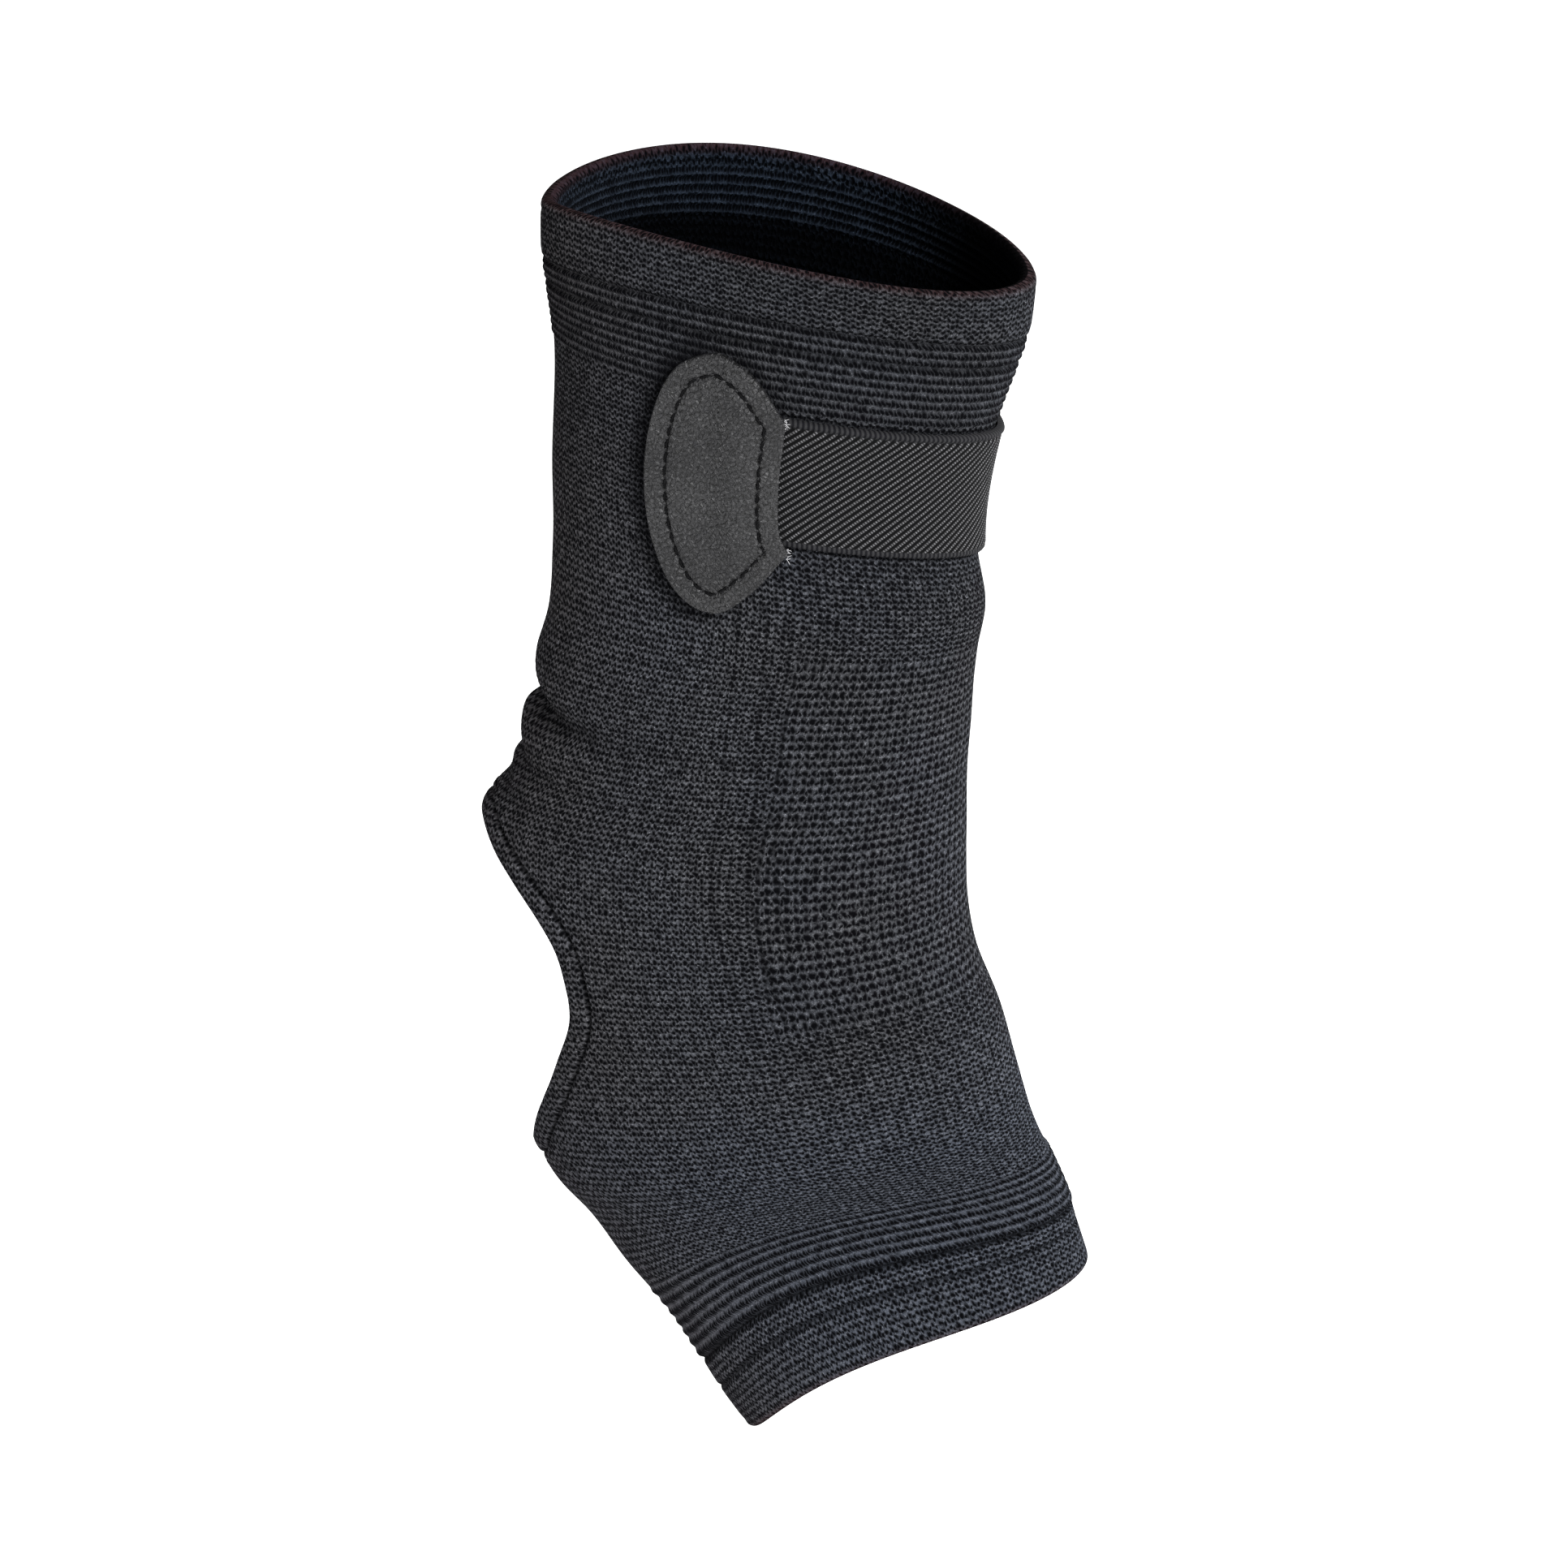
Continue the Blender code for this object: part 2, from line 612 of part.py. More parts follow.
def build_patch(name, near, material):
    edge = patch_edge()
    count = len(edge)
    rings = (0.45, 0.85, 1.0)
    points = []
    for over in (0.0, LEATHER):
        deep, angle, seat = patch_place(0.0, 0.0, near)
        points.append(surface(deep, angle, seat + over))
        for ring in rings:
            for forward, up in edge:
                deep, angle, seat = patch_place(forward * ring, up * ring, near)
                points.append(surface(deep, angle, seat + over))
    layer = 1 + count * len(rings)
    faces = []
    for start, flip in ((0, False), (layer, True)):
        for step in range(count):
            after = (step + 1) % count
            fan = (start, start + 1 + step, start + 1 + after)
            faces.append(fan[::-1] if flip else fan)
            for ring in range(len(rings) - 1):
                inner = start + 1 + ring * count
                outer = inner + count
                square = (inner + step, outer + step, outer + after, inner + after)
                faces.append(square[::-1] if flip else square)
    rim = 1 + count * (len(rings) - 1)
    for step in range(count):
        after = (step + 1) % count
        faces.append((rim + step, layer + rim + step, layer + rim + after, rim + after))
    if not near:
        faces = [face[::-1] for face in faces]
    return make_object(name, points, faces, material)


def main():
    clear_scene()
    knit = make_material("charcoal_knit", (0.040, 0.042, 0.050), 0.95)
    turned = make_material("turned_in_knit", (0.026, 0.027, 0.034), 0.95)
    elastic = make_material("woven_elastic", (0.014, 0.014, 0.015), 0.75)
    leather = make_material("black_leather", (0.035, 0.036, 0.038), 0.45)
    build_sleeve(knit)
    build_facing("top_facing", top_facing_rows(), turned)
    build_facing("toe_facing", toe_facing_rows(), turned)
    build_heel_hem(turned)
    build_band(elastic)
    build_patch("near_patch", True, leather)
    build_patch("far_patch", False, leather)


main()
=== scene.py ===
import math

import bmesh
import bpy
import numpy as np
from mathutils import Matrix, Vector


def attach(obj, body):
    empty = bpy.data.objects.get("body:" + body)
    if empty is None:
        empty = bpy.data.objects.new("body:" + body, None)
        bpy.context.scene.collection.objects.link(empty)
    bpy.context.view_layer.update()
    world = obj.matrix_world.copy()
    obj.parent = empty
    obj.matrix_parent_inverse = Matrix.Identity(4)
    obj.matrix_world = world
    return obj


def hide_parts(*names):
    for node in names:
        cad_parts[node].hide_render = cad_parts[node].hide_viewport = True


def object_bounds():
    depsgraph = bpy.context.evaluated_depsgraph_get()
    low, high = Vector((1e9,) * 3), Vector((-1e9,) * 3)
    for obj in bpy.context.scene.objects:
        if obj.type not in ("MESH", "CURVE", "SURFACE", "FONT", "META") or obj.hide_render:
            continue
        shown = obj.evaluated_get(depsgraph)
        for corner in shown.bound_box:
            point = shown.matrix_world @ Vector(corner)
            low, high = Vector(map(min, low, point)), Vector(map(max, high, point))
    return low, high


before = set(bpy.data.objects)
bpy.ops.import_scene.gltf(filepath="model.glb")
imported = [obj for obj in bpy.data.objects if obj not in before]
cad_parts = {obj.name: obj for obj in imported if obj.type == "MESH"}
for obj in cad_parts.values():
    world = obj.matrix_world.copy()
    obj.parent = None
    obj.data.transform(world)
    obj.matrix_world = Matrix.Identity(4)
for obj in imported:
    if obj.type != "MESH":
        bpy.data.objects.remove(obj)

CAD_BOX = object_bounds()

# Overall form
LEG_HEIGHT = 0.1324      # middle of the ankle up to the middle of the top opening
FOOT_DROP = 0.0890       # middle of the ankle down to the middle of the toe opening
TOP_WIDTH = 0.0892       # front to back
LEG_WIDTH = 0.0800
HEEL_WIDTH = 0.0910
TOE_WIDTH = 0.0730
TOP_DEPTH = 0.0600       # side to side
LEG_DEPTH = 0.0560
TOE_DEPTH = 0.0365

# Cloth, leather and elastic
WALL = 0.0013            # the knitted tube
FACING = 0.0011          # the turned-in layer at each end and round the heel
BAND_THICK = 0.0012
LEATHER = 0.0014
GAP = 0.0003             # between pieces that lie on each other

# Knitted ends
TOP_HEM = 0.0112
RIB_PITCH = 0.00151
RIB_COUNT = 10
RIB_RELIEF = 0.00035
HEM_RELIEF = 0.0004
TOP_FACING_DEEP = 0.0180
TOE_HEM = 0.0098
TOE_BAND = 0.0052        # plain stripe between the two toe grooves
TOE_RIB_PITCH = 0.0022
TOE_RIB_COUNT = 7
GROOVE_RELIEF = 0.0003
GROOVE_WIDE = 0.0008

# Creases above the heel
CREASE_DEPTH = 0.0042
CREASE_TALL = 0.0026
CREASE_RUN = 0.0075      # how far they run down on their way forward
CREASE_TURN = 0.45       # radians from the back over which they do most of it

# Open heel
HEEL_TOP = 0.0210        # height of its upper end above the ankle's middle
HEEL_LOW = 0.0364        # depth of its lower end under it
HEEL_BITE = 0.0139       # how far its near edge is cut forward
HEEL_HEM_WIDE = 0.0050

# Elastic band and its end patches
BAND_WIDE = 0.0240
BAND_BELOW_RIBS = 0.0010
BAND_UNDER_PATCH = 0.0080
PATCH_WIDE = 0.0245
PATCH_TALL = 0.0477
PATCH_FORWARD = -0.0061  # its middle from the middle of the ankle
PATCH_DROP = 0.0028      # its middle below the band's middle
PATCH_SEAT = 0.0008      # over the ribs of the sleeve
PATCH_RAMP = 0.0050      # where it climbs on to the band
PATCH_OVER_BAND = 0.0006


# The three sizes that a section's height and the rest are shares of: height, width and depth.
TOP = (LEG_HEIGHT, TOP_WIDTH, TOP_DEPTH)
LEG = (LEG_HEIGHT, LEG_WIDTH, LEG_DEPTH)
ANKLE = (LEG_HEIGHT, HEEL_WIDTH, LEG_DEPTH)
HEEL = (FOOT_DROP, HEEL_WIDTH, LEG_DEPTH)
FOOT = (FOOT_DROP, TOE_WIDTH, TOE_DEPTH)

# A row for each section: its sizes; height of its middle; middle forward of the ankle and width,
# in shares of the width; tilt in degrees with the front up; depth of the near and the far half,
# in shares of the depth; skew of the near and the far half with its fullest place forward; how far
# the middle of the near and the far half rides up out of the tilt, in shares of the depth.
SECTIONS = (
    (TOP, 1.000, 0.075, 1.000, -9.0, 0.375, 0.66, 0.38, 0.05, 0.00, 0.07),
    (TOP, 0.920, 0.068, 0.988, -9.5, 0.30, 0.64, 0.18, 0.05, 0.00, 0.04),
    (LEG, 0.801, 0.053, 1.020, -11.5, 0.36, 0.63, -0.05, -0.08, 0.00, 0.00),
    (LEG, 0.611, 0.029, 0.986, -11.3, 0.36, 0.61, -0.15, -0.10, 0.00, 0.00),
    (LEG, 0.517, 0.040, 0.999, -8.8, 0.38, 0.59, -0.08, -0.05, 0.00, 0.00),
    (LEG, 0.434, 0.025, 0.988, -5.2, 0.40, 0.58, 0.00, 0.00, 0.00, 0.00),
    (LEG, 0.384, 0.006, 1.008, -3.2, 0.42, 0.57, 0.05, 0.05, 0.00, 0.00),
    (LEG, 0.307, -0.014, 1.031, -1.5, 0.43, 0.57, 0.10, 0.10, 0.00, 0.00),
    (LEG, 0.238, -0.034, 1.054, -1.0, 0.44, 0.56, 0.14, 0.12, 0.00, 0.00),
    (ANKLE, 0.159, -0.060, 0.986, -0.4, 0.45, 0.55, 0.17, 0.15, 0.00, 0.00),
    (ANKLE, 0.090, -0.065, 0.997, 0.9, 0.45, 0.55, 0.17, 0.15, 0.00, 0.00),
    (ANKLE, 0.017, -0.057, 0.991, 3.1, 0.45, 0.55, 0.16, 0.15, 0.00, 0.00),
    (HEEL, -0.119, -0.034, 0.993, 5.7, 0.44, 0.54, 0.15, 0.14, 0.00, 0.00),
    (HEEL, -0.273, 0.009, 1.014, 7.6, 0.42, 0.52, 0.14, 0.12, 0.00, 0.00),
    (HEEL, -0.410, 0.042, 1.016, 9.3, 0.39, 0.50, 0.12, 0.10, 0.00, 0.00),
    (HEEL, -0.494, 0.075, 0.990, 11.4, 0.37, 0.49, 0.10, 0.10, 0.01, 0.01),
    (FOOT, -0.562, 0.144, 1.177, 13.9, 0.52, 0.73, 0.10, 0.10, 0.05, 0.05),
    (FOOT, -0.647, 0.201, 1.134, 18.3, 0.47, 0.71, 0.10, 0.10, 0.15, 0.15),
    (FOOT, -0.739, 0.274, 1.090, 22.4, 0.41, 0.69, 0.12, 0.10, 0.24, 0.24),
    (FOOT, -0.828, 0.331, 1.069, 24.4, 0.38, 0.67, 0.16, 0.10, 0.26, 0.26),
    (FOOT, -0.902, 0.373, 1.049, 27.4, 0.37, 0.66, 0.22, 0.10, 0.24, 0.24),
    (FOOT, -1.000, 0.433, 1.012, 29.0, 0.38, 0.66, 0.27, 0.10, 0.15, 0.15),
)

# A row for each crease at the back: height, depth, thickness, and its reach round from the back
# in radians.
CREASES = (
    (0.352 * LEG_HEIGHT, 1.00 * CREASE_DEPTH, 1.00 * CREASE_TALL, 0.75),
    (0.271 * LEG_HEIGHT, 0.38 * CREASE_DEPTH, 0.85 * CREASE_TALL, 0.65),
    (0.230 * LEG_HEIGHT, 0.24 * CREASE_DEPTH, 0.75 * CREASE_TALL, 0.50),
)

# A row for each place along the edge of the open heel: share of the way down it, and shares of
# its full bite on the near side and on the far side.
HEEL_EDGE = (
    (0.000, 0.00, 0.00),
    (0.100, 0.28, 0.27),
    (0.156, 0.47, 0.46),
    (0.260, 0.78, 0.86),
    (0.340, 0.94, 0.98),
    (0.430, 1.00, 1.03),
    (0.544, 0.98, 1.04),
    (0.700, 0.66, 0.90),
    (0.785, 0.46, 0.76),
    (0.890, 0.21, 0.43),
    (1.000, 0.00, 0.00),
)

# A row for each place on the outline of a patch: forward and up from its middle in shares of its
# width and height, and whether the outline turns a corner there.
PATCH_OUTLINE = (
    (-0.012, 0.500, False),
    (0.151, 0.470, False),
    (0.306, 0.402, False),
    (0.489, 0.253, True),
    (0.440, 0.030, False),
    (0.436, -0.170, False),
    (0.500, -0.265, True),
    (0.252, -0.412, False),
    (-0.021, -0.500, False),
    (-0.291, -0.416, False),
    (-0.455, -0.210, False),
    (-0.500, 0.030, False),
    (-0.438, 0.268, False),
    (-0.280, 0.443, False),
)


def smooth_table(at, values):
    """A smooth curve through a table's rows, as a function of the first column."""
    at = np.asarray(at, float)
    values = np.asarray(values, float)
    slopes = np.gradient(values, at, axis=0)

    def read(where):
        where = np.clip(np.asarray(where, float), at[0], at[-1])
        low = np.clip(np.searchsorted(at, where, side="right") - 1, 0, len(at) - 2)
        span = (at[low + 1] - at[low])
        t = (where - at[low]) / span
        t = t[..., None]
        span = span[..., None]
        start = (1 + 2 * t) * (1 - t) ** 2 * values[low] + t * (1 - t) ** 2 * span * slopes[low]
        end = t * t * (3 - 2 * t) * values[low + 1] - t * t * (1 - t) * span * slopes[low + 1]
        return start + end

    return read


def sized(row):
    """A section's row with its shares made into lengths."""
    (tall, wide, thick), height, forward, width, tilt = row[:5]
    near, far, near_skew, far_skew, near_rise, far_rise = row[5:]
    place = (height * tall, forward * wide, width * wide, tilt)
    return place + (near * thick, far * thick, near_skew, far_skew, near_rise * thick, far_rise * thick)


def clamp01(value):
    return np.clip(value, 0.0, 1.0)


def smooth_step(value, low, high):
    share = clamp01((value - low) / (high - low))
    return share * share * (3 - 2 * share)


def fall(value, low, high):
    """The reverse of smooth_step: 1 below low and 0 above high."""
    return 1 - smooth_step(value, low, high)


def between(value, start, stop, edge):
    """1 from start on and 0 from stop on, with an edge of this width before each."""
    return smooth_step(value, start - edge, start) * fall(value, stop - edge, stop)


def bump_at(value, middle, wide):
    return np.exp(-((value - middle) / wide) ** 2)


def unit(vectors):
    return vectors / np.linalg.norm(vectors, axis=1)[:, None]


def running_length(places):
    """How far along a line of places each one lies."""
    return np.concatenate(([0.0], np.cumsum(np.linalg.norm(np.diff(places, axis=0), axis=1))))


TABLE = np.array([sized(row) for row in SECTIONS])
DEPTHS = running_length(TABLE[:, :2])                   # below the top opening, along the middle
TOE_DEEP = DEPTHS[-1]
TOP_RIBS_END = TOP_HEM + RIB_COUNT * RIB_PITCH
TOE_RIBS_STOP = TOE_DEEP - TOE_HEM - TOE_BAND
TOE_RIBS_START = TOE_RIBS_STOP - TOE_RIB_COUNT * TOE_RIB_PITCH
BAND_START = TOP_RIBS_END + BAND_BELOW_RIBS
read_section = smooth_table(DEPTHS, TABLE)
read_heel_edge = smooth_table([row[0] for row in HEEL_EDGE], [row[1:] for row in HEEL_EDGE])


def depth_at_height(height):
    """Depth below the top opening of the section whose middle is at this height."""
    return float(np.interp(-height, -TABLE[:, 0], DEPTHS))


def crease_run(away):
    """How far the creases have run down at this angle away from the back."""
    return CREASE_RUN * (1 - np.exp(-away / CREASE_TURN))


def crease_lift(deep, angle):
    """How far the creases above the heel pull the cloth in."""
    from_back = math.pi - np.abs(angle)
    lift = np.zeros(np.broadcast(deep, angle).shape)
    for height, depth, tall, reach in CREASES:
        below = (deep - depth_at_height(height) - crease_run(from_back)) / tall
        lift = lift - depth * np.exp(-below ** 2 - (from_back / reach) ** 2)
    return lift


def surface(deep, angle, lift=0.0):
    """Points of the tube, lifted outwards; deep and angle are arrays of one shape."""
    deep, angle = np.broadcast_arrays(np.asarray(deep, float), np.asarray(angle, float))
    columns = np.moveaxis(read_section(deep), -1, 0)
    height, forward, width, tilt, near, far, near_skew, far_skew, near_rise, far_rise = columns
    lift = lift + crease_lift(deep, angle)
    across = np.cos(angle)
    side = np.sin(angle)
    half = width / 2 + lift
    depth = np.where(side >= 0, near, far)
    skew = np.where(side >= 0, near_skew, far_skew)
    fullness = np.sqrt((1 + skew * (1 + across)) * (1 - skew * (1 - across)))
    rise = np.where(side >= 0, near_rise, far_rise)
    ride = rise * side ** 2 * (1 - 0.5 * across)
    lean = np.radians(tilt)
    x = forward + half * across * np.cos(lean) - ride * np.sin(lean)
    z = height + half * across * np.sin(lean) + ride * np.cos(lean)
    y = -side * (depth * fullness + lift)
    return np.stack((x, y, z), axis=-1)


def place_at_side(x, z, near=True):
    """Depths and angles of the surface points at these places in the side view."""
    low = np.zeros(len(x))
    high = np.full(len(x), TOE_DEEP)
    for _ in range(50):
        middle = (low + high) / 2
        height, forward, width, tilt = np.moveaxis(read_section(middle), -1, 0)[:4]
        lean = np.radians(tilt)
        above = -(x - forward) * np.sin(lean) + (z - height) * np.cos(lean)
        low = np.where(above < 0, middle, low)
        high = np.where(above < 0, high, middle)
    along = (x - forward) * np.cos(lean) + (z - height) * np.sin(lean)
    angle = np.arccos(np.clip(along / (width / 2), -1.0, 1.0))
    return middle, angle if near else -angle


def knit_lift(deep):
    """Hems, ribs and grooves on the outside of the sleeve."""
    deep = np.asarray(deep, float)
    lift = np.where(deep < TOP_HEM, HEM_RELIEF, 0.0)
    for start, stop, pitch in ((TOP_HEM, TOP_RIBS_END, RIB_PITCH),
                               (TOE_RIBS_START, TOE_RIBS_STOP, TOE_RIB_PITCH)):
        turn = 0.5 - 0.5 * np.cos(2 * math.pi * (deep - start) / pitch)
        lift = np.where((deep >= start) & (deep <= stop), RIB_RELIEF * turn, lift)
    for groove in (TOE_RIBS_STOP, TOE_DEEP - TOE_HEM):
        lift = lift - GROOVE_RELIEF * bump_at(deep, groove, GROOVE_WIDE / 2)
    return lift


HEEL_START = depth_at_height(HEEL_TOP)
HEEL_STOP = depth_at_height(-HEEL_LOW)


def heel_angles(deep):
    """Angles of the near and the far edge of the open heel at this depth."""
    share = (deep - HEEL_START) / (HEEL_STOP - HEEL_START)
    if share <= 0 or share >= 1:
        return math.pi, -math.pi
    near_bite, far_bite = HEEL_BITE * np.maximum(read_heel_edge(share), 0.0)
    half = float(read_section(deep)[2]) / 2
    near = math.acos(-1 + near_bite / half)
    far = math.acos(-1 + far_bite / half)
    return near, -far


# Columns and rows of stitches
WALE_COUNT = 156         # columns round the tube
CLOSE_WALES = 0.76       # width of a column behind the open panel, as a share of one in front
CLOSE_FROM = 1.50        # radians from the shin where they narrow
CLOSE_TO = 1.70
ROW_PITCHES = (          # a row for each stretch: where it ends, as a depth, and its row pitch
    (TOP_HEM, 0.00117),
    (TOP_RIBS_END, RIB_PITCH),
    (0.0500, 0.00108),
    (0.0720, 0.00122),
    (0.0900, 0.00112),
    (0.1450, 0.00123),
    (TOE_RIBS_START, 0.00134),
    (TOE_RIBS_STOP, TOE_RIB_PITCH),
    (TOE_DEEP - TOE_HEM, TOE_BAND / 4),
    (TOE_DEEP, 0.00128),
)
OPEN_PITCHES = (         # the same for the open panel over the shin
    (0.0730, 0.00165),
    (0.1100, 0.00170),
    (0.1300, 0.00200),
    (TOE_DEEP, 0.00210),
)
OPEN_TOP = 0.0730
OPEN_BOTTOM = 0.1485
OPEN_SIDE = 1.45         # radians either side of the shin
OPEN_FADE = 0.0020
LADDERS = ((1.675, 0.85), (1.536, 0.85), (1.430, 0.45))     # angle and strength of each dark column
LADDER_DEEP = 0.087      # where they have those angles
LADDER_DRIFT = -70.0     # columns of stitches that they cross in a metre of depth
RIB_EDGE = 0.0004        # over which ribs begin and end
DARK_LINES = (           # depth, darkness and its half width, relief and its half width
    (TOP_HEM, 0.45, 0.0004, 0.00060, 0.0006),
    (TOP_HEM + 3 * RIB_PITCH, 0.50, 0.0005, 0.00045, 0.0006),
    (TOE_RIBS_STOP, 1.00, 0.0007, 0.00030, 0.0005),
    (TOE_DEEP - TOE_HEM, 0.80, 0.0005, 0.00012, 0.0004),
)
PICOTS = ((0.0, 1, 0.00016), (TOE_DEEP, -1, 0.00012))       # end, way in from it, and relief
PICOT_IN = 0.0021
WAVE_RELIEF = 0.00018    # the gentle waves of worn cloth

# Holes of the three kinds of knit: two to a stitch, and for each its place, size and lean,
# in stitches across and down.
PLAIN_HOLES = (((0.0, 0.0), (0.19, 0.30), 0.20), ((0.5, 0.30), (0.17, 0.25), -0.20))
RIB_HOLES = (((0.0, 0.0), (0.22, 0.31), 0.35), ((0.5, 0.08), (0.19, 0.27), 0.35))
OPEN_HOLES = (((0.0, 0.0), (0.26, 0.34), 0.20), ((0.48, 0.22), (0.15, 0.22), -0.30))

# Edges and mesh spacing
FOLD = (WALL + GAP + FACING) / 2      # radius of a rolled edge
FACING_RIBS = 0.0036     # first rib of the top facing below the rim
FACING_RIB_COUNT = 5
FACING_RELIEF = 0.00040
COLUMNS = 190
INNER_COLUMNS = 96
INNER_STEP = 4           # of the heel's stations, one in so many is used inside
HEEL_STEPS = 116
FINE_ROW = 0.0003
EDGE_ROWS = 0.0034       # depth of the fine rows at each end
HEM_REACH = 0.0064       # from the heel's edge out to the plain cloth
SEAM_IN = 0.0046         # seam of the heel hem from the edge
SEAM_DIP = 0.00060
SEAM_SWELL = 0.00034
ROLL_RISE = 0.00026
HEEL_RINGS = (HEM_REACH, 0.0059, 0.0054, 0.0051, 0.0049, 0.00475, 0.0046, 0.00445, 0.0043, 0.0041,
              0.0037, 0.0032, 0.0026, 0.0020)

# Elastic band
BAND_STEP = 0.00022
BAND_ROUND = 0.0003      # how far its long edges are rounded down
SELVEDGE = 0.0012
LOWER_SELVEDGE = 0.0010
WEAVE_EDGE = 0.0003      # over which the weave begins beside a selvedge
CORD_PITCH = 0.0009
TWILL_PITCH = 0.00106
TWILL_RISE = math.radians(41.0)
BEAD_PITCH = 0.00051     # of the threads that cross the twill
BEAD_LEAN = math.radians(42.0)

# Patches
STITCH_IN = 0.0035
STITCH_LONG = 0.0019
STITCH_GAP = 0.0006
STITCH_THICK = 0.00036
STITCH_SUNK = 0.00052    # how far the ends of a stitch lie under the leather's face
STITCH_ARCH = 0.00026
STITCH_POINTS = 7
FRAY_COUNT = 9
FRAY_THICK = 0.0001
EDGE_ROUND = 0.0004
EDGE_TURNS = (0.35, 0.7, 1.0, 1.25, 1.57)
FACE = LEATHER - 0.0001  # of the leather over its underside
PATCH_LOOPS = (0.0009, 0.0014, 0.0020, 0.0026, 0.0030, 0.00325, 0.0034, 0.0035, 0.0036, 0.00375, 0.0040,
               0.0044)   # distances in from the outline
PATCH_SHARES = (0.94, 0.87, 0.80, 0.72, 0.64, 0.56, 0.48, 0.40, 0.32, 0.24, 0.16, 0.08, 0.0)
OUTLINE_COUNT = 220

# Colours: a yarn, the dark painted in its holes and hollows as their shade, and its tone at the back of the
# leg
CHARCOAL = ((0.041, 0.042, 0.046), (0.0012, 0.0012, 0.0016), (0.037, 0.033, 0.033))
# The turned-in knit: the yarn's bluish inner face, made much darker than the yarn as painted shade of the
# inside of the tube.
TURNED_IN_SHADE = ((0.012, 0.016, 0.023), (0.0006, 0.0007, 0.0011), (0.011, 0.014, 0.020))
LINING = (0.034, 0.052, 0.070)
RIM_RED = (0.028, 0.011, 0.011)
BLACK_THREAD = (0.0035, 0.0035, 0.0038)
PALE_THREAD = (0.42, 0.42, 0.43)

# Camera, as the photograph was taken
CAMERA_RISE = math.radians(22.0)
CAMERA_AWAY = 1.21
CAMERA_AIM = (0.0057, 0.0, 0.0265)
CAMERA_LENS = 150.32
CAMERA_SENSOR = 36.0

# A row for each light: name, place, size and power.
LIGHTS = (
    ("key_softbox", (0.95, -1.05, 0.95), 0.6, 56.0),
    ("fill_softbox", (-0.95, -1.20, 0.20), 1.2, 15.0),
    ("top_softbox", (0.0, 0.30, 1.60), 1.4, 7.0),
    ("rim_softbox", (1.30, 0.60, 0.40), 0.9, 34.0),
)
WORLD_LIGHT = 0.50
FLOOR_REACH = 6.0
FLOOR_BELOW = 0.030      # under the lowest point of the brace


# The share of the way round the tube, measured along the cloth
SHARE_ANGLES = np.linspace(-math.pi, math.pi, 1441)
_oval = np.stack((0.5 * LEG_WIDTH * np.cos(SHARE_ANGLES),
                  np.where(SHARE_ANGLES >= 0, 0.40, 0.58) * LEG_DEPTH * np.sin(SHARE_ANGLES)), axis=-1)
SHARE_LENGTHS = running_length(_oval)
GIRTH = float(SHARE_LENGTHS[-1])
_middles = np.abs(SHARE_ANGLES[1:] + SHARE_ANGLES[:-1]) / 2
_crowding = 1 + (1 / CLOSE_WALES - 1) * smooth_step(_middles, CLOSE_FROM, CLOSE_TO)
SHARE_WALES = np.concatenate(([0.0], np.cumsum(np.diff(SHARE_LENGTHS) * _crowding)))


def girth_share(angle):
    return np.interp(angle, SHARE_ANGLES, SHARE_LENGTHS / GIRTH)


def angle_at_share(share):
    return np.interp(share, SHARE_LENGTHS / GIRTH, SHARE_ANGLES)


def wale_at(angle):
    """The column of stitches at each angle round the tube."""
    return np.interp(angle, SHARE_ANGLES, SHARE_WALES / SHARE_WALES[-1] * WALE_COUNT)


def rows_down(deep, pitches):
    """Rows of stitches from the top opening down to each depth."""
    deeps = np.array([0.0] + [row[0] for row in pitches])
    counts = [(row[0] - before) / row[1] for row, before in zip(pitches, deeps)]
    return np.interp(deep, deeps, np.concatenate(([0.0], np.cumsum(counts))))


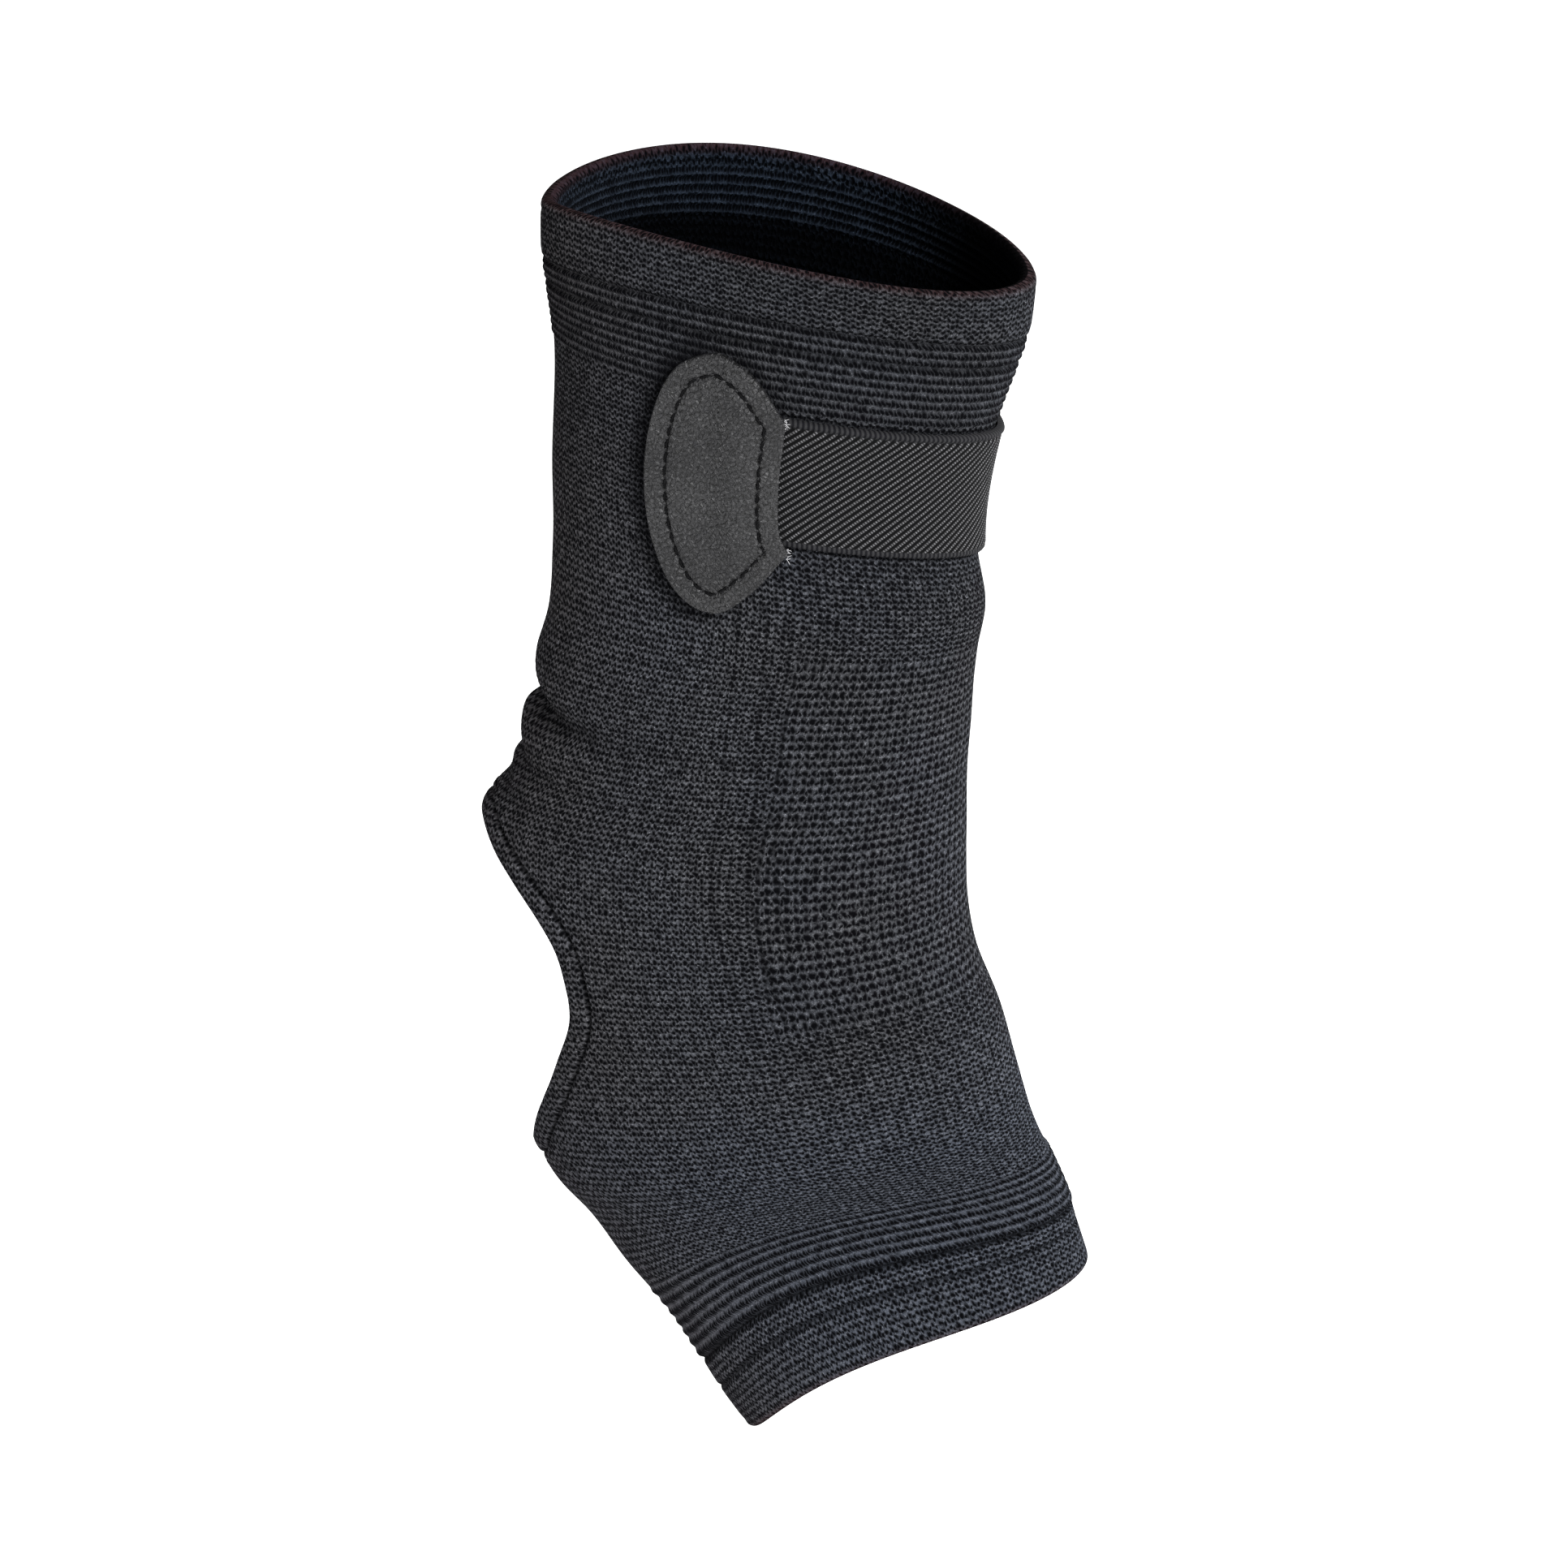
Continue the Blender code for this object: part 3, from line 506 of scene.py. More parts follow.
class Skin:
    """Gathers the points and faces of one piece of cloth, with what its material reads."""

    def __init__(self):
        self.blocks = []
        self.faces = []
        self.count = 0

    def add(self, points, deep, angle, inside=0.0, seam=0.0):
        """Adds a block of points and returns their numbers in the block's shape."""
        shape = points.shape[:-1]
        columns = [np.broadcast_to(values, shape).reshape(-1, 1) for values in (deep, angle, inside, seam)]
        self.blocks.append(np.hstack([points.reshape(-1, 3)] + columns))
        size = len(self.blocks[-1])
        numbers = np.arange(self.count, self.count + size).reshape(shape)
        self.count += size
        return numbers

    def join(self, numbers, outward=True):
        """Faces between neighbouring rows and columns of numbers."""
        a = numbers[:-1, :-1]
        b = numbers[:-1, 1:]
        c = numbers[1:, 1:]
        d = numbers[1:, :-1]
        order = (d, c, b, a) if outward else (a, b, c, d)
        self.faces.append(np.stack(order, axis=-1).reshape(-1, 4))

    def join_loops(self, rows, outward=True):
        """Faces between rows of numbers that each close into a loop."""
        block = np.stack(rows)
        self.join(np.concatenate((block, block[:, :1]), axis=1), outward)

    def build(self, name, material, rows=None, ribbed=None):
        """Makes the piece. Rows and ribbed are functions of depth, given where it differs from
        the outside of the sleeve."""
        table = np.concatenate(self.blocks)
        deep, angle, inside, seam = table[:, 3:].T
        faces = np.concatenate(self.faces)
        mesh = bpy.data.meshes.new(name)
        mesh.from_pydata(table[:, :3].tolist(), [], faces.tolist())
        wale = wale_at(angle)
        maps = {
            "stitch": (wale, rows(deep) if rows else rows_down(deep, ROW_PITCHES)),
            "panel": (wale, rows_down(deep, OPEN_PITCHES)),
            "place": (girth_share(angle) * GIRTH, deep),
        }
        for map_name, columns in maps.items():
            corners = np.stack(columns, axis=-1)[faces.reshape(-1)]
            layer = mesh.uv_layers.new(name=map_name)
            layer.data.foreach_set("uv", corners.astype(np.float32).reshape(-1))
        found = masks(deep, angle, inside)
        found["groove"] = np.maximum(found["groove"], seam)
        if ribbed:
            found["ribbed"] = ribbed(deep)
        for mask, values in found.items():
            layer = mesh.attributes.new(mask, "FLOAT", "POINT")
            layer.data.foreach_set("value", values.astype(np.float32))
        weld(mesh)
        return make_piece(name, mesh, material)


def weld(mesh):
    work = bmesh.new()
    work.from_mesh(mesh)
    bmesh.ops.remove_doubles(work, verts=work.verts, dist=2e-6)
    work.to_mesh(mesh)
    work.free()


def make_piece(name, mesh, material):
    mesh.materials.append(material)
    mesh.shade_smooth()
    piece = bpy.data.objects.new(name, mesh)
    bpy.context.scene.collection.objects.link(piece)
    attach(piece, "root")
    return piece


def masks(deep, angle, inside):
    """Where each kind of knit lies, and where shade is painted on it, as shares from 0 to 1."""
    away = np.abs(angle)
    open_share = between(deep, OPEN_TOP + OPEN_FADE, OPEN_BOTTOM + OPEN_FADE, 2 * OPEN_FADE)
    ribs = between(deep, TOP_HEM, TOP_RIBS_END, RIB_EDGE)
    toe_ribs = between(deep, TOE_RIBS_START, TOE_RIBS_STOP, RIB_EDGE)
    groove = np.zeros(len(deep))
    for depth, darkness, wide, _, _ in DARK_LINES:
        groove = np.maximum(groove, darkness * bump_at(deep, depth, wide))
    from_back = math.pi - away
    # Painted shade in the creases above the heel: darker the deeper the crease.
    painted_crease_shade = np.zeros(len(deep))
    for height, depth, tall, reach in CREASES:
        below = (deep - depth_at_height(height) - crease_run(from_back)) / tall
        weight = (depth / CREASE_DEPTH) ** 0.4
        painted_crease_shade = painted_crease_shade + weight * np.exp(-(below / 0.9) ** 2 - (from_back / (1.5 * reach)) ** 2)
    band_stop = BAND_START + BAND_WIDE
    band_end = band_end_angles()[0]
    loose = smooth_step(deep, band_stop, band_stop + 0.002) * fall(deep, 0.150, 0.165)
    # Painted shadow: a dark line along each long edge of the band, and dark beside each patch's raised edge,
    # wider behind it; outside only.
    painted_edge_shadow = np.maximum(bump_at(deep, BAND_START, 0.0007), bump_at(deep, band_stop, 0.0009))
    painted_edge_shadow = np.maximum(0.70 * painted_edge_shadow * fall(away, band_end, band_end + 0.02), beside_patch(deep, angle))
    # Painted shade on the inner face near the top, down to the end of the top facing: darker from 8.5 to
    # 12.5 mm below the rim on, and towards the shin.
    painted_inside_shade = np.maximum(0.93 * smooth_step(deep, 0.0085, 0.0125), 0.96 * fall(away, 0.55, 1.45))
    return {
        "open": open_share * fall(away, OPEN_SIDE - 0.04, OPEN_SIDE),
        "ribbed": np.maximum(ribs, toe_ribs),
        "groove": groove,
        "rim": np.maximum(bump_at(deep, 0.0, 0.0009), bump_at(deep, TOE_DEEP, 0.0008)),
        "inside": inside,
        "back": smooth_step(away, 1.7, 3.0),
        "painted_crease_shade": painted_crease_shade,
        "loose": loose * fall(away, 1.30, 1.75),
        "fine": np.maximum(fall(deep, TOP_HEM - RIB_EDGE, TOP_HEM), smooth_step(away, 1.9, 2.6)),
        "foot": smooth_step(deep, 0.150, 0.185),
        # painted shade: the upper leg darker, fading out from 20 mm to 70 mm below the rim
        "upper": fall(deep, 0.020, 0.070),
        "painted_inside_shade": painted_inside_shade * inside * fall(deep, TOP_FACING_DEEP - RIB_EDGE, TOP_FACING_DEEP + RIB_EDGE),
        "painted_edge_shadow": painted_edge_shadow * (inside < 0.5),
        "lining": inside * fall(deep, 0.028, 0.034),
    }


def beside_patch(deep, angle):
    """How deep in the shade of a patch's raised edge each place lies."""
    shade = np.zeros(len(deep))
    outline = outline_curve(OUTLINE_COUNT // 2) + (PATCH_FORWARD, patch_middle_height())
    places = surface(deep, angle)[:, (0, 2)]
    for low in range(0, len(deep), 4000):
        some = places[low:low + 4000]
        nearest = np.sqrt(((some[:, None, :] - outline) ** 2).sum(-1)).min(axis=1)
        behind = smooth_step(PATCH_FORWARD + 0.002 - some[:, 0], 0.0, 0.008)
        reach = 0.0010 + 0.0022 * behind
        shade[low:low + 4000] = (0.55 + 0.25 * behind) * bump_at(nearest, 0.0, reach)
    side = np.abs(angle)
    return shade * smooth_step(side, 0.9, 1.0) * fall(side, 2.5, 2.7)


def edge_side(near):
    """Depths and angles of evenly spaced stations down one side of the open heel."""
    deeps = np.linspace(HEEL_START, HEEL_STOP, 1200)
    angles = np.array([heel_angles(deep)[0 if near else 1] for deep in deeps])
    lengths = running_length(surface(deeps, angles))
    wanted = np.linspace(0.0, lengths[-1], HEEL_STEPS + 1)
    return np.interp(wanted, lengths, deeps), np.interp(wanted, lengths, angles)


def step_out(deep, angle, away, distance):
    """Depths and angles after a walk of this distance along the surface, for arrays of places."""
    steps = max(1, round(abs(distance) / 0.0008))
    tiny = 0.0002
    for _ in range(steps):
        here = surface(deep, angle)
        down = (surface(deep + tiny, angle) - here) / tiny
        turn = (surface(deep, angle + tiny) - here) / tiny
        dd = (down * down).sum(-1)
        dt = (down * turn).sum(-1)
        tt = (turn * turn).sum(-1)
        ad = (down * away).sum(-1)
        at = (turn * away).sum(-1)
        scale = dd * tt - dt * dt
        move_down = (ad * tt - at * dt) / scale
        move_turn = (at * dd - ad * dt) / scale
        length = np.linalg.norm(down * move_down[:, None] + turn * move_turn[:, None], axis=-1)
        share = distance / steps / length
        deep = deep + move_down * share
        angle = angle + move_turn * share
    return deep, angle


class HeelLoop:
    """The edge of the open heel: down its near side, up its far side."""

    def __init__(self):
        near = edge_side(True)
        far = edge_side(False)
        self.deep = np.concatenate((near[0], far[0][1:-1][::-1]))
        self.angle = np.concatenate((near[1], far[1][1:-1][::-1]))
        places = surface(self.deep, self.angle)
        along = unit(np.roll(places, -1, axis=0) - np.roll(places, 1, axis=0))
        away = places - places.mean(axis=0)
        self.away = unit(away - along * (away * along).sum(-1)[:, None])

    def ring(self, distance, lift):
        """Points, depths and angles of the loop moved away from the opening and lifted."""
        deep = self.deep.copy()
        angle = self.angle.copy()
        if distance > 0:
            deep, angle = step_out(deep, angle, self.away, distance)
        angle[[0, HEEL_STEPS]] = math.pi
        return surface(deep, angle, lift), deep, angle


def outer_lift(deep, angle):
    """The relief of the outside: ribs, hems, lines, picots and the gentle waves of worn cloth."""
    lift = knit_lift(deep)
    picot = 0.5 + 0.5 * np.cos(2 * math.pi * wale_at(angle))
    for brink, direction, relief in PICOTS:
        lift = lift - relief * picot * bump_at(direction * (deep - brink), PICOT_IN, 0.0007)
    for depth, _, _, relief, wide in DARK_LINES:
        lift = lift - relief * bump_at(deep, depth, wide)
    return lift + WAVE_RELIEF * np.sin(3 * angle + 70 * deep) * smooth_step(deep, 0.052, 0.070)


def rows_between(start, stop, spacing):
    count = max(2, math.ceil((stop - start) / spacing))
    return list(np.linspace(start, stop, count + 1)[:-1])


def rows_through(start, *stretches):
    """Rows from a start through stretches, each a stop and a spacing, short of the last stop."""
    rows = []
    for stop, spacing in stretches:
        rows += rows_between(start, stop, spacing)
        start = stop
    return rows


def tube_rows(near_deep, near_angle, far_deep, far_angle, count):
    """Depth and angle of every point of rows that run from a near end to a far end."""
    shares = np.linspace(0.0, 1.0, count + 1)[None, :]
    start = girth_share(np.asarray(near_angle))[:, None]
    stop = girth_share(np.asarray(far_angle))[:, None]
    angle = angle_at_share(start + (stop - start) * shares)
    deep = np.asarray(near_deep)[:, None] * (1 - shares) + np.asarray(far_deep)[:, None] * shares
    return deep, angle


def closed_rows(deeps, count):
    deeps = np.asarray(deeps)
    full = np.full(len(deeps), math.pi)
    return tube_rows(deeps, full, deeps, -full, count)


def fold_path(start, stop, steps):
    """Points round a rolled edge: how far in from its brink and how far down from the outside."""
    turns = np.linspace(start, stop, steps)
    return FOLD * (1 - np.sin(turns)), -FOLD * (1 - np.cos(turns))


def sleeve_rows(loop, upper, lower, columns, step):
    """Depth and angle of every point of rows above, beside and below the open heel."""
    near = np.arange(0, HEEL_STEPS + 1, step)
    far = (2 * HEEL_STEPS - near) % (2 * HEEL_STEPS)
    _, deep, angle = loop.ring(HEM_REACH, 0.0)
    far_angle = angle[far]
    far_angle[[0, -1]] = -math.pi
    sides = tube_rows(deep[near], angle[near], deep[far], far_angle, columns)
    parts = (closed_rows(upper, columns), sides, closed_rows(lower, columns))
    return [np.concatenate(column) for column in zip(*parts)]


def build_sleeve(material, loop):
    """The outside of the sleeve with its rolled edges, and the plain face inside it."""
    ring_deep = loop.ring(HEM_REACH, 0.0)[1]
    tip = ring_deep[0]
    sole = ring_deep[HEEL_STEPS]
    toe_brink = TOE_DEEP - FOLD
    upper = rows_through(FOLD, (EDGE_ROWS, FINE_ROW), (TOP_HEM - 0.0008, 0.0012),
                         (TOP_RIBS_END + 0.0008, RIB_PITCH / 6), (OPEN_TOP + 0.001, 0.0012), (tip, 0.00062))
    lower = rows_through(sole, (TOE_RIBS_START, 0.0010), (TOE_RIBS_STOP - 0.0008, TOE_RIB_PITCH / 6),
                         (TOE_DEEP - TOE_HEM + 0.0010, 0.00028), (TOE_DEEP - EDGE_ROWS, 0.0010),
                         (toe_brink, FINE_ROW))
    deep, angle = sleeve_rows(loop, upper, lower[1:] + [toe_brink], COLUMNS, 1)
    skin = Skin()
    outer = skin.add(surface(deep, angle, outer_lift(deep, angle)), deep, angle)
    skin.join(outer)
    fold_in, fold_down = fold_path(0.0, math.pi / 2, 6)
    for brink, direction, row in ((0.0, 1, 0), (TOE_DEEP, -1, -1)):
        turn = angle[[row]]
        rows = [outer[[row]]]
        for step_in, step_down in zip(fold_in[1:], fold_down[1:]):
            here = np.full(turn.shape, brink + direction * step_in)
            lift = outer_lift(here, turn) * (1 - abs(step_down) / FOLD)
            rows.append(skin.add(surface(here, turn, lift + step_down), here, turn))
        skin.join(np.concatenate(rows)[::-direction])
    build_heel_roll(skin, loop)

    upper = rows_through(0.0, (0.0170, 0.004), (TOP_RIBS_END, FINE_ROW), (tip, 0.003))
    lower = rows_between(sole, TOE_DEEP, 0.004)[1:] + [TOE_DEEP]
    deep, angle = sleeve_rows(loop, upper, lower, INNER_COLUMNS, INNER_STEP)
    lift = -WALL + 0.5 * knit_lift(deep) * (deep > TOP_FACING_DEEP)
    inside = Skin()
    inside.join(inside.add(surface(deep, angle, lift), deep, angle, 1.0), False)
    return skin.build("sleeve_knit", material), inside.build("sleeve_inside_knit", material)


def add_heel_rings(skin, loop, rings, inside=0.0):
    """Joins rings round the open heel: for each its distance from the edge, its lift and its seam."""
    rows = []
    for distance, lift, seam in rings:
        points, deep, angle = loop.ring(distance, lift)
        rows.append(skin.add(points, deep, angle, inside, seam))
    skin.join_loops(rows)


def build_heel_roll(skin, loop):
    """The edge of the open heel, from the plain cloth over the seam to the brink of the roll."""
    rings = []
    for distance in HEEL_RINGS:
        lift = -SEAM_DIP * bump_at(distance, SEAM_IN, 0.00038)
        if distance < SEAM_IN:
            lift = lift + SEAM_SWELL * math.sin(math.pi * distance / SEAM_IN)
        rings.append((distance, lift, 0.8 * bump_at(distance, SEAM_IN, 0.00030)))
    for step_in, step_down in zip(*fold_path(0.0, math.pi / 2, 7)):
        rings.append((step_in, ROLL_RISE * (1 - abs(step_down) / FOLD) + step_down, 0.0))
    add_heel_rings(skin, loop, rings)


def build_heel_facing(material, loop):
    """The turned-in band inside the edge of the open heel."""
    rings = list(zip(*fold_path(math.pi / 2, math.pi, 6)))
    rings += [(step_in, -2 * FOLD) for step_in in (0.0020, 0.0028, 0.0036, 0.0044)]
    rings += [(HEEL_HEM_WIDE, -2 * FOLD + 0.0002), (HEEL_HEM_WIDE, -2 * FOLD + FACING)]
    skin = Skin()
    add_heel_rings(skin, loop, [(*ring, 0.0) for ring in rings], 1.0)
    return skin.build("heel_hem_knit", material)


def build_end_facing(name, material, brink, direction, reach, ribs):
    """The turned-in layer at one end, from the brink of the rolled edge inwards."""
    fold_in, fold_down = fold_path(math.pi / 2, math.pi, 6)
    flats = rows_between(FOLD, reach, FINE_ROW)[1:] + [reach]
    under = -2 * FOLD
    ins = np.array([*fold_in, *flats, reach + 0.0004, reach + 0.0004, reach - 0.0006])
    lifts = np.array([*fold_down, *[under] * len(flats), under + 0.0003, under + FACING - 0.0002,
                      under + FACING])
    if ribs:
        turn = 2 * math.pi * (ins - FACING_RIBS) / RIB_PITCH
        relief = facing_ribs(ins) * FACING_RELIEF * (0.5 - 0.5 * np.cos(turn))
        lifts = lifts - relief - FACING_RELIEF * bump_at(ins, reach - 0.0010, 0.0004)
    deep, angle = closed_rows(brink + direction * ins, INNER_COLUMNS * 2)
    skin = Skin()
    numbers = skin.add(surface(deep, angle, lifts[:, None]), deep, angle, 1.0)
    skin.join(numbers, direction < 0)
    if ribs:
        return skin.build(name, material, facing_rows, facing_ribs)
    return skin.build(name, material)


def facing_rows(deep):
    return (deep - FACING_RIBS) / RIB_PITCH


def facing_ribs(deep):
    """Where the top facing is ribbed: a few rows below the rim."""
    return between(deep, FACING_RIBS, FACING_RIBS + FACING_RIB_COUNT * RIB_PITCH, RIB_EDGE)


def band_end_angles():
    """Angles of the band's hidden ends, under the near patch and under the far patch."""
    height, forward, width, tilt = read_section(BAND_START + BAND_WIDE / 2)[:4]
    end = PATCH_FORWARD + PATCH_WIDE / 2 - BAND_UNDER_PATCH
    angle = math.acos((end - forward) / math.cos(math.radians(tilt)) / (width / 2))
    return angle, -angle


def band_relief(down, along):
    """Corded upper edge, smooth lower edge and diagonal twill between them."""
    across = down * math.cos(TWILL_RISE) - along * math.sin(TWILL_RISE)
    twill = 0.5 + 0.5 * np.cos(2 * math.pi * across / TWILL_PITCH)
    body = between(down, SELVEDGE + WEAVE_EDGE, BAND_WIDE - LOWER_SELVEDGE, WEAVE_EDGE)
    cord = np.sqrt(clamp01(1 - ((down - SELVEDGE / 2) / (SELVEDGE / 2)) ** 2))
    tick = 0.5 + 0.5 * np.cos(2 * math.pi * along / CORD_PITCH)
    relief = 0.00016 * twill * body + (0.00042 - 0.00010 * tick) * cord
    return relief - 0.00022 * bump_at(down, SELVEDGE + 0.0002, 0.0003)


def build_band(material):
    shares = girth_share(np.array(band_end_angles()))
    downs = np.linspace(0.0, BAND_WIDE, round(BAND_WIDE / BAND_STEP) + 1)
    count = round((shares[0] - shares[1]) * GIRTH / BAND_STEP)
    angles = angle_at_share(np.linspace(shares[0], shares[1], count + 1))
    down, angle = np.meshgrid(downs, angles, indexing="ij")
    deep = BAND_START + down
    relief = band_relief(down, girth_share(angle) * GIRTH)
    rounding = BAND_ROUND * fall(np.minimum(down, BAND_WIDE - down), 0.0, 0.0005)
    skin = Skin()
    outer = skin.add(surface(deep, angle, GAP + BAND_THICK - 0.0001 + relief - rounding), deep, angle)
    skin.join(outer)
    for row, order in ((0, 1), (-1, -1)):
        low = skin.add(surface(deep[[row]], angle[[row]], GAP), deep[[row]], angle[[row]], 1.0)
        skin.join(np.concatenate((low, outer[[row]]))[::order])
    back = Skin()
    deep = deep[::8, ::8]
    angle = angle[::8, ::8]
    back.join(back.add(surface(deep, angle, GAP), deep, angle, 1.0), False)
    return skin.build("band_weave", material), back.build("band_back", material)


def evenly_on(loop, stations):
    """Places on a closed loop, at stations along it that a function of its whole length gives."""
    ring = np.concatenate((loop, loop[:1]))
    lengths = running_length(ring)
    wanted = stations(lengths[-1])
    return np.stack([np.interp(wanted, lengths, ring[:, axis]) for axis in (0, 1)], axis=-1)


def outline_curve(count):
    """Evenly spaced places on the patch's outline in metres, forward and up from its middle, with
    the corners kept."""
    total = len(PATCH_OUTLINE)
    dense = []
    for number, (forward, up, corner) in enumerate(PATCH_OUTLINE):
        here = np.array((forward, up))
        after = PATCH_OUTLINE[(number + 1) % total]
        beyond = PATCH_OUTLINE[(number + 2) % total]
        before = PATCH_OUTLINE[number - 1]
        there = np.array(after[:2])
        leave = there - here if corner else (there - np.array(before[:2])) / 2
        arrive = there - here if after[2] else (np.array(beyond[:2]) - here) / 2
        for t in np.linspace(0.0, 1.0, 24, endpoint=False):
            point = (1 + 2 * t) * (1 - t) ** 2 * here + t * (1 - t) ** 2 * leave
            point = point + t * t * (3 - 2 * t) * there - t * t * (1 - t) * arrive
            dense.append(point)
    dense = np.array(dense) * (PATCH_WIDE, PATCH_TALL)
    return evenly_on(dense, lambda total_length: np.linspace(0.0, total_length, count + 1)[:-1])


def outline_area():
    """Area of one patch as it was cut."""
    x, z = outline_curve(OUTLINE_COUNT).T
    return float(abs((x * np.roll(z, -1) - z * np.roll(x, -1)).sum()) / 2)


def inset(outline, distance):
    """The outline moved inwards, for a loop of places in the plane."""
    along = unit(np.roll(outline, -1, axis=0) - np.roll(outline, 1, axis=0))
    normal = np.stack((along[:, 1], -along[:, 0]), axis=-1)
    if ((outline - outline.mean(axis=0)) * normal).sum() > 0:
        normal = -normal
    return outline + normal * distance


def smoothed(loop, times):
    for _ in range(times):
        loop = (np.roll(loop, 1, axis=0) + 2 * loop + np.roll(loop, -1, axis=0)) / 4
    return loop


def patch_middle_height():
    height, middle, width, tilt = read_section(BAND_START + BAND_WIDE / 2)[:4]
    return height + (PATCH_FORWARD - middle) * math.tan(math.radians(tilt)) - PATCH_DROP


def patch_points(places, over, near):
    """Points of the patch, this far over its underside, with their depths and angles."""
    x = PATCH_FORWARD + places[:, 0]
    deep, angle = place_at_side(x, patch_middle_height() + places[:, 1], near)
    band_end = PATCH_FORWARD + PATCH_WIDE / 2 - BAND_UNDER_PATCH - PATCH_OVER_BAND
    beside = np.maximum(np.maximum(BAND_START - deep, deep - BAND_START - BAND_WIDE), 0.0)
    climb = smooth_step(x, band_end - PATCH_RAMP, band_end) * (1 - 0.35 * np.minimum(1.0, beside / 0.004))
    on_band = GAP + BAND_THICK + PATCH_OVER_BAND
    seat = PATCH_SEAT + (on_band - PATCH_SEAT) * climb
    return surface(deep, angle, seat + over), deep, angle


def build_patch(name, near, material):
    """The leather of one patch, and the loop that its stitches follow."""
    outline = outline_curve(OUTLINE_COUNT)
    loops = [(outline, 0.0), (outline, FACE - EDGE_ROUND)]
    for turn in EDGE_TURNS:
        loop = inset(outline, EDGE_ROUND * (1 - math.cos(turn)))
        loops.append((loop, FACE - EDGE_ROUND * (1 - math.sin(turn))))
    for into in PATCH_LOOPS:
        groove = 0.00040 * bump_at(into, STITCH_IN, 0.00025) + 0.00016 * bump_at(into, STITCH_IN, 0.0013)
        loops.append((smoothed(inset(outline, into), round(into * 1700)), FACE - groove))
    last = loops[-1][0]
    for share in PATCH_SHARES:
        last = smoothed(last, 6)
        loops.append((last * share, FACE + 0.00012 * (1 - share)))
    skin = Skin()
    skin.join_loops([skin.add(*patch_points(loop, over, near)) for loop, over in loops], not near)
    return skin.build(name, material), smoothed(inset(outline, STITCH_IN), 6)


def add_tube(points, radius, sides, mesh_points, mesh_faces):
    """Adds a closed round thread along these points, tapered at its ends."""
    points = np.asarray(points)
    count = len(points)
    first = len(mesh_points)
    along = unit(np.gradient(points, axis=0))
    side = unit(np.cross(along, (0.31, 0.77, 0.55)))
    over = np.cross(along, side)
    for number in range(count):
        end = min(number, count - 1 - number) / max(1, (count - 1) / 2)
        size = radius * (0.35 + 0.65 * math.sqrt(min(1.0, end * 1.8)))
        for turn in np.arange(sides) * 2 * math.pi / sides:
            spoke = math.cos(turn) * side[number] + math.sin(turn) * over[number]
            mesh_points.append(tuple(points[number] + size * spoke))
    for number in range(count - 1):
        for step in range(sides):
            a = first + number * sides + step
            b = first + number * sides + (step + 1) % sides
            mesh_faces.append((a, b, b + sides, a + sides))
    mesh_faces.append(tuple(range(first, first + sides))[::-1])
    mesh_faces.append(tuple(range(first + (count - 1) * sides, first + count * sides)))


def thread_piece(name, runs, thick, material, sides=6):
    points = []
    faces = []
    for run in runs:
        add_tube(run, thick / 2, sides, points, faces)
    mesh = bpy.data.meshes.new(name)
    mesh.from_pydata(points, [], faces)
    return make_piece(name, mesh, material)


def stitch_runs(loop, near):
    """Centre lines of the stitches sunk along a loop of places."""
    total = running_length(np.concatenate((loop, loop[:1])))[-1]
    count = round(total / (STITCH_LONG + STITCH_GAP))
    shares = np.linspace(0.0, 1.0, STITCH_POINTS)
    over = LEATHER - STITCH_SUNK + STITCH_ARCH * np.sin(math.pi * shares)
    runs = []
    for number in range(count):
        start = number * total / count
        places = evenly_on(loop, lambda length: (start + shares * STITCH_LONG) % length)
        runs.append(patch_points(places, over, near)[0])
    return runs


def fray_runs(near, random):
    """Short loose threads at the patch's two front corners."""
    runs = []
    corners = [np.array(row[:2]) * (PATCH_WIDE, PATCH_TALL) for row in PATCH_OUTLINE if row[2]]
    for corner in corners:
        for _ in range(FRAY_COUNT):
            place = corner + (-0.0003, random.uniform(-0.0011, 0.0011))
            start = patch_points(place[None, :], LEATHER * random.uniform(0.2, 0.9), near)[0][0]
            aim = np.array((random.uniform(0.3, 1.0), random.uniform(-0.5, 0.1), random.uniform(-0.7, 0.7)))
            aim = aim / np.linalg.norm(aim) * random.uniform(0.0005, 0.0012)
            bend = np.array((0.0, 0.0, random.uniform(-0.0004, 0.0004)))
            runs.append([start + aim * t + bend * t * t for t in np.linspace(0.0, 1.0, 5)])
    return runs


class Value:
    """What a node of a material gives, written in sums like a number."""

    def __init__(self, graph, socket):
        self.graph = graph
        self.socket = socket

    def __add__(self, other):
        return self.graph.math("ADD", self, other)

    def __mul__(self, other):
        return self.graph.math("MULTIPLY", self, other)

    def __sub__(self, other):
        return self.graph.math("SUBTRACT", self, other)

    def __rsub__(self, other):
        return self.graph.math("SUBTRACT", other, self)

    def __truediv__(self, other):
        return self.graph.math("DIVIDE", self, other)

    __rmul__ = __mul__


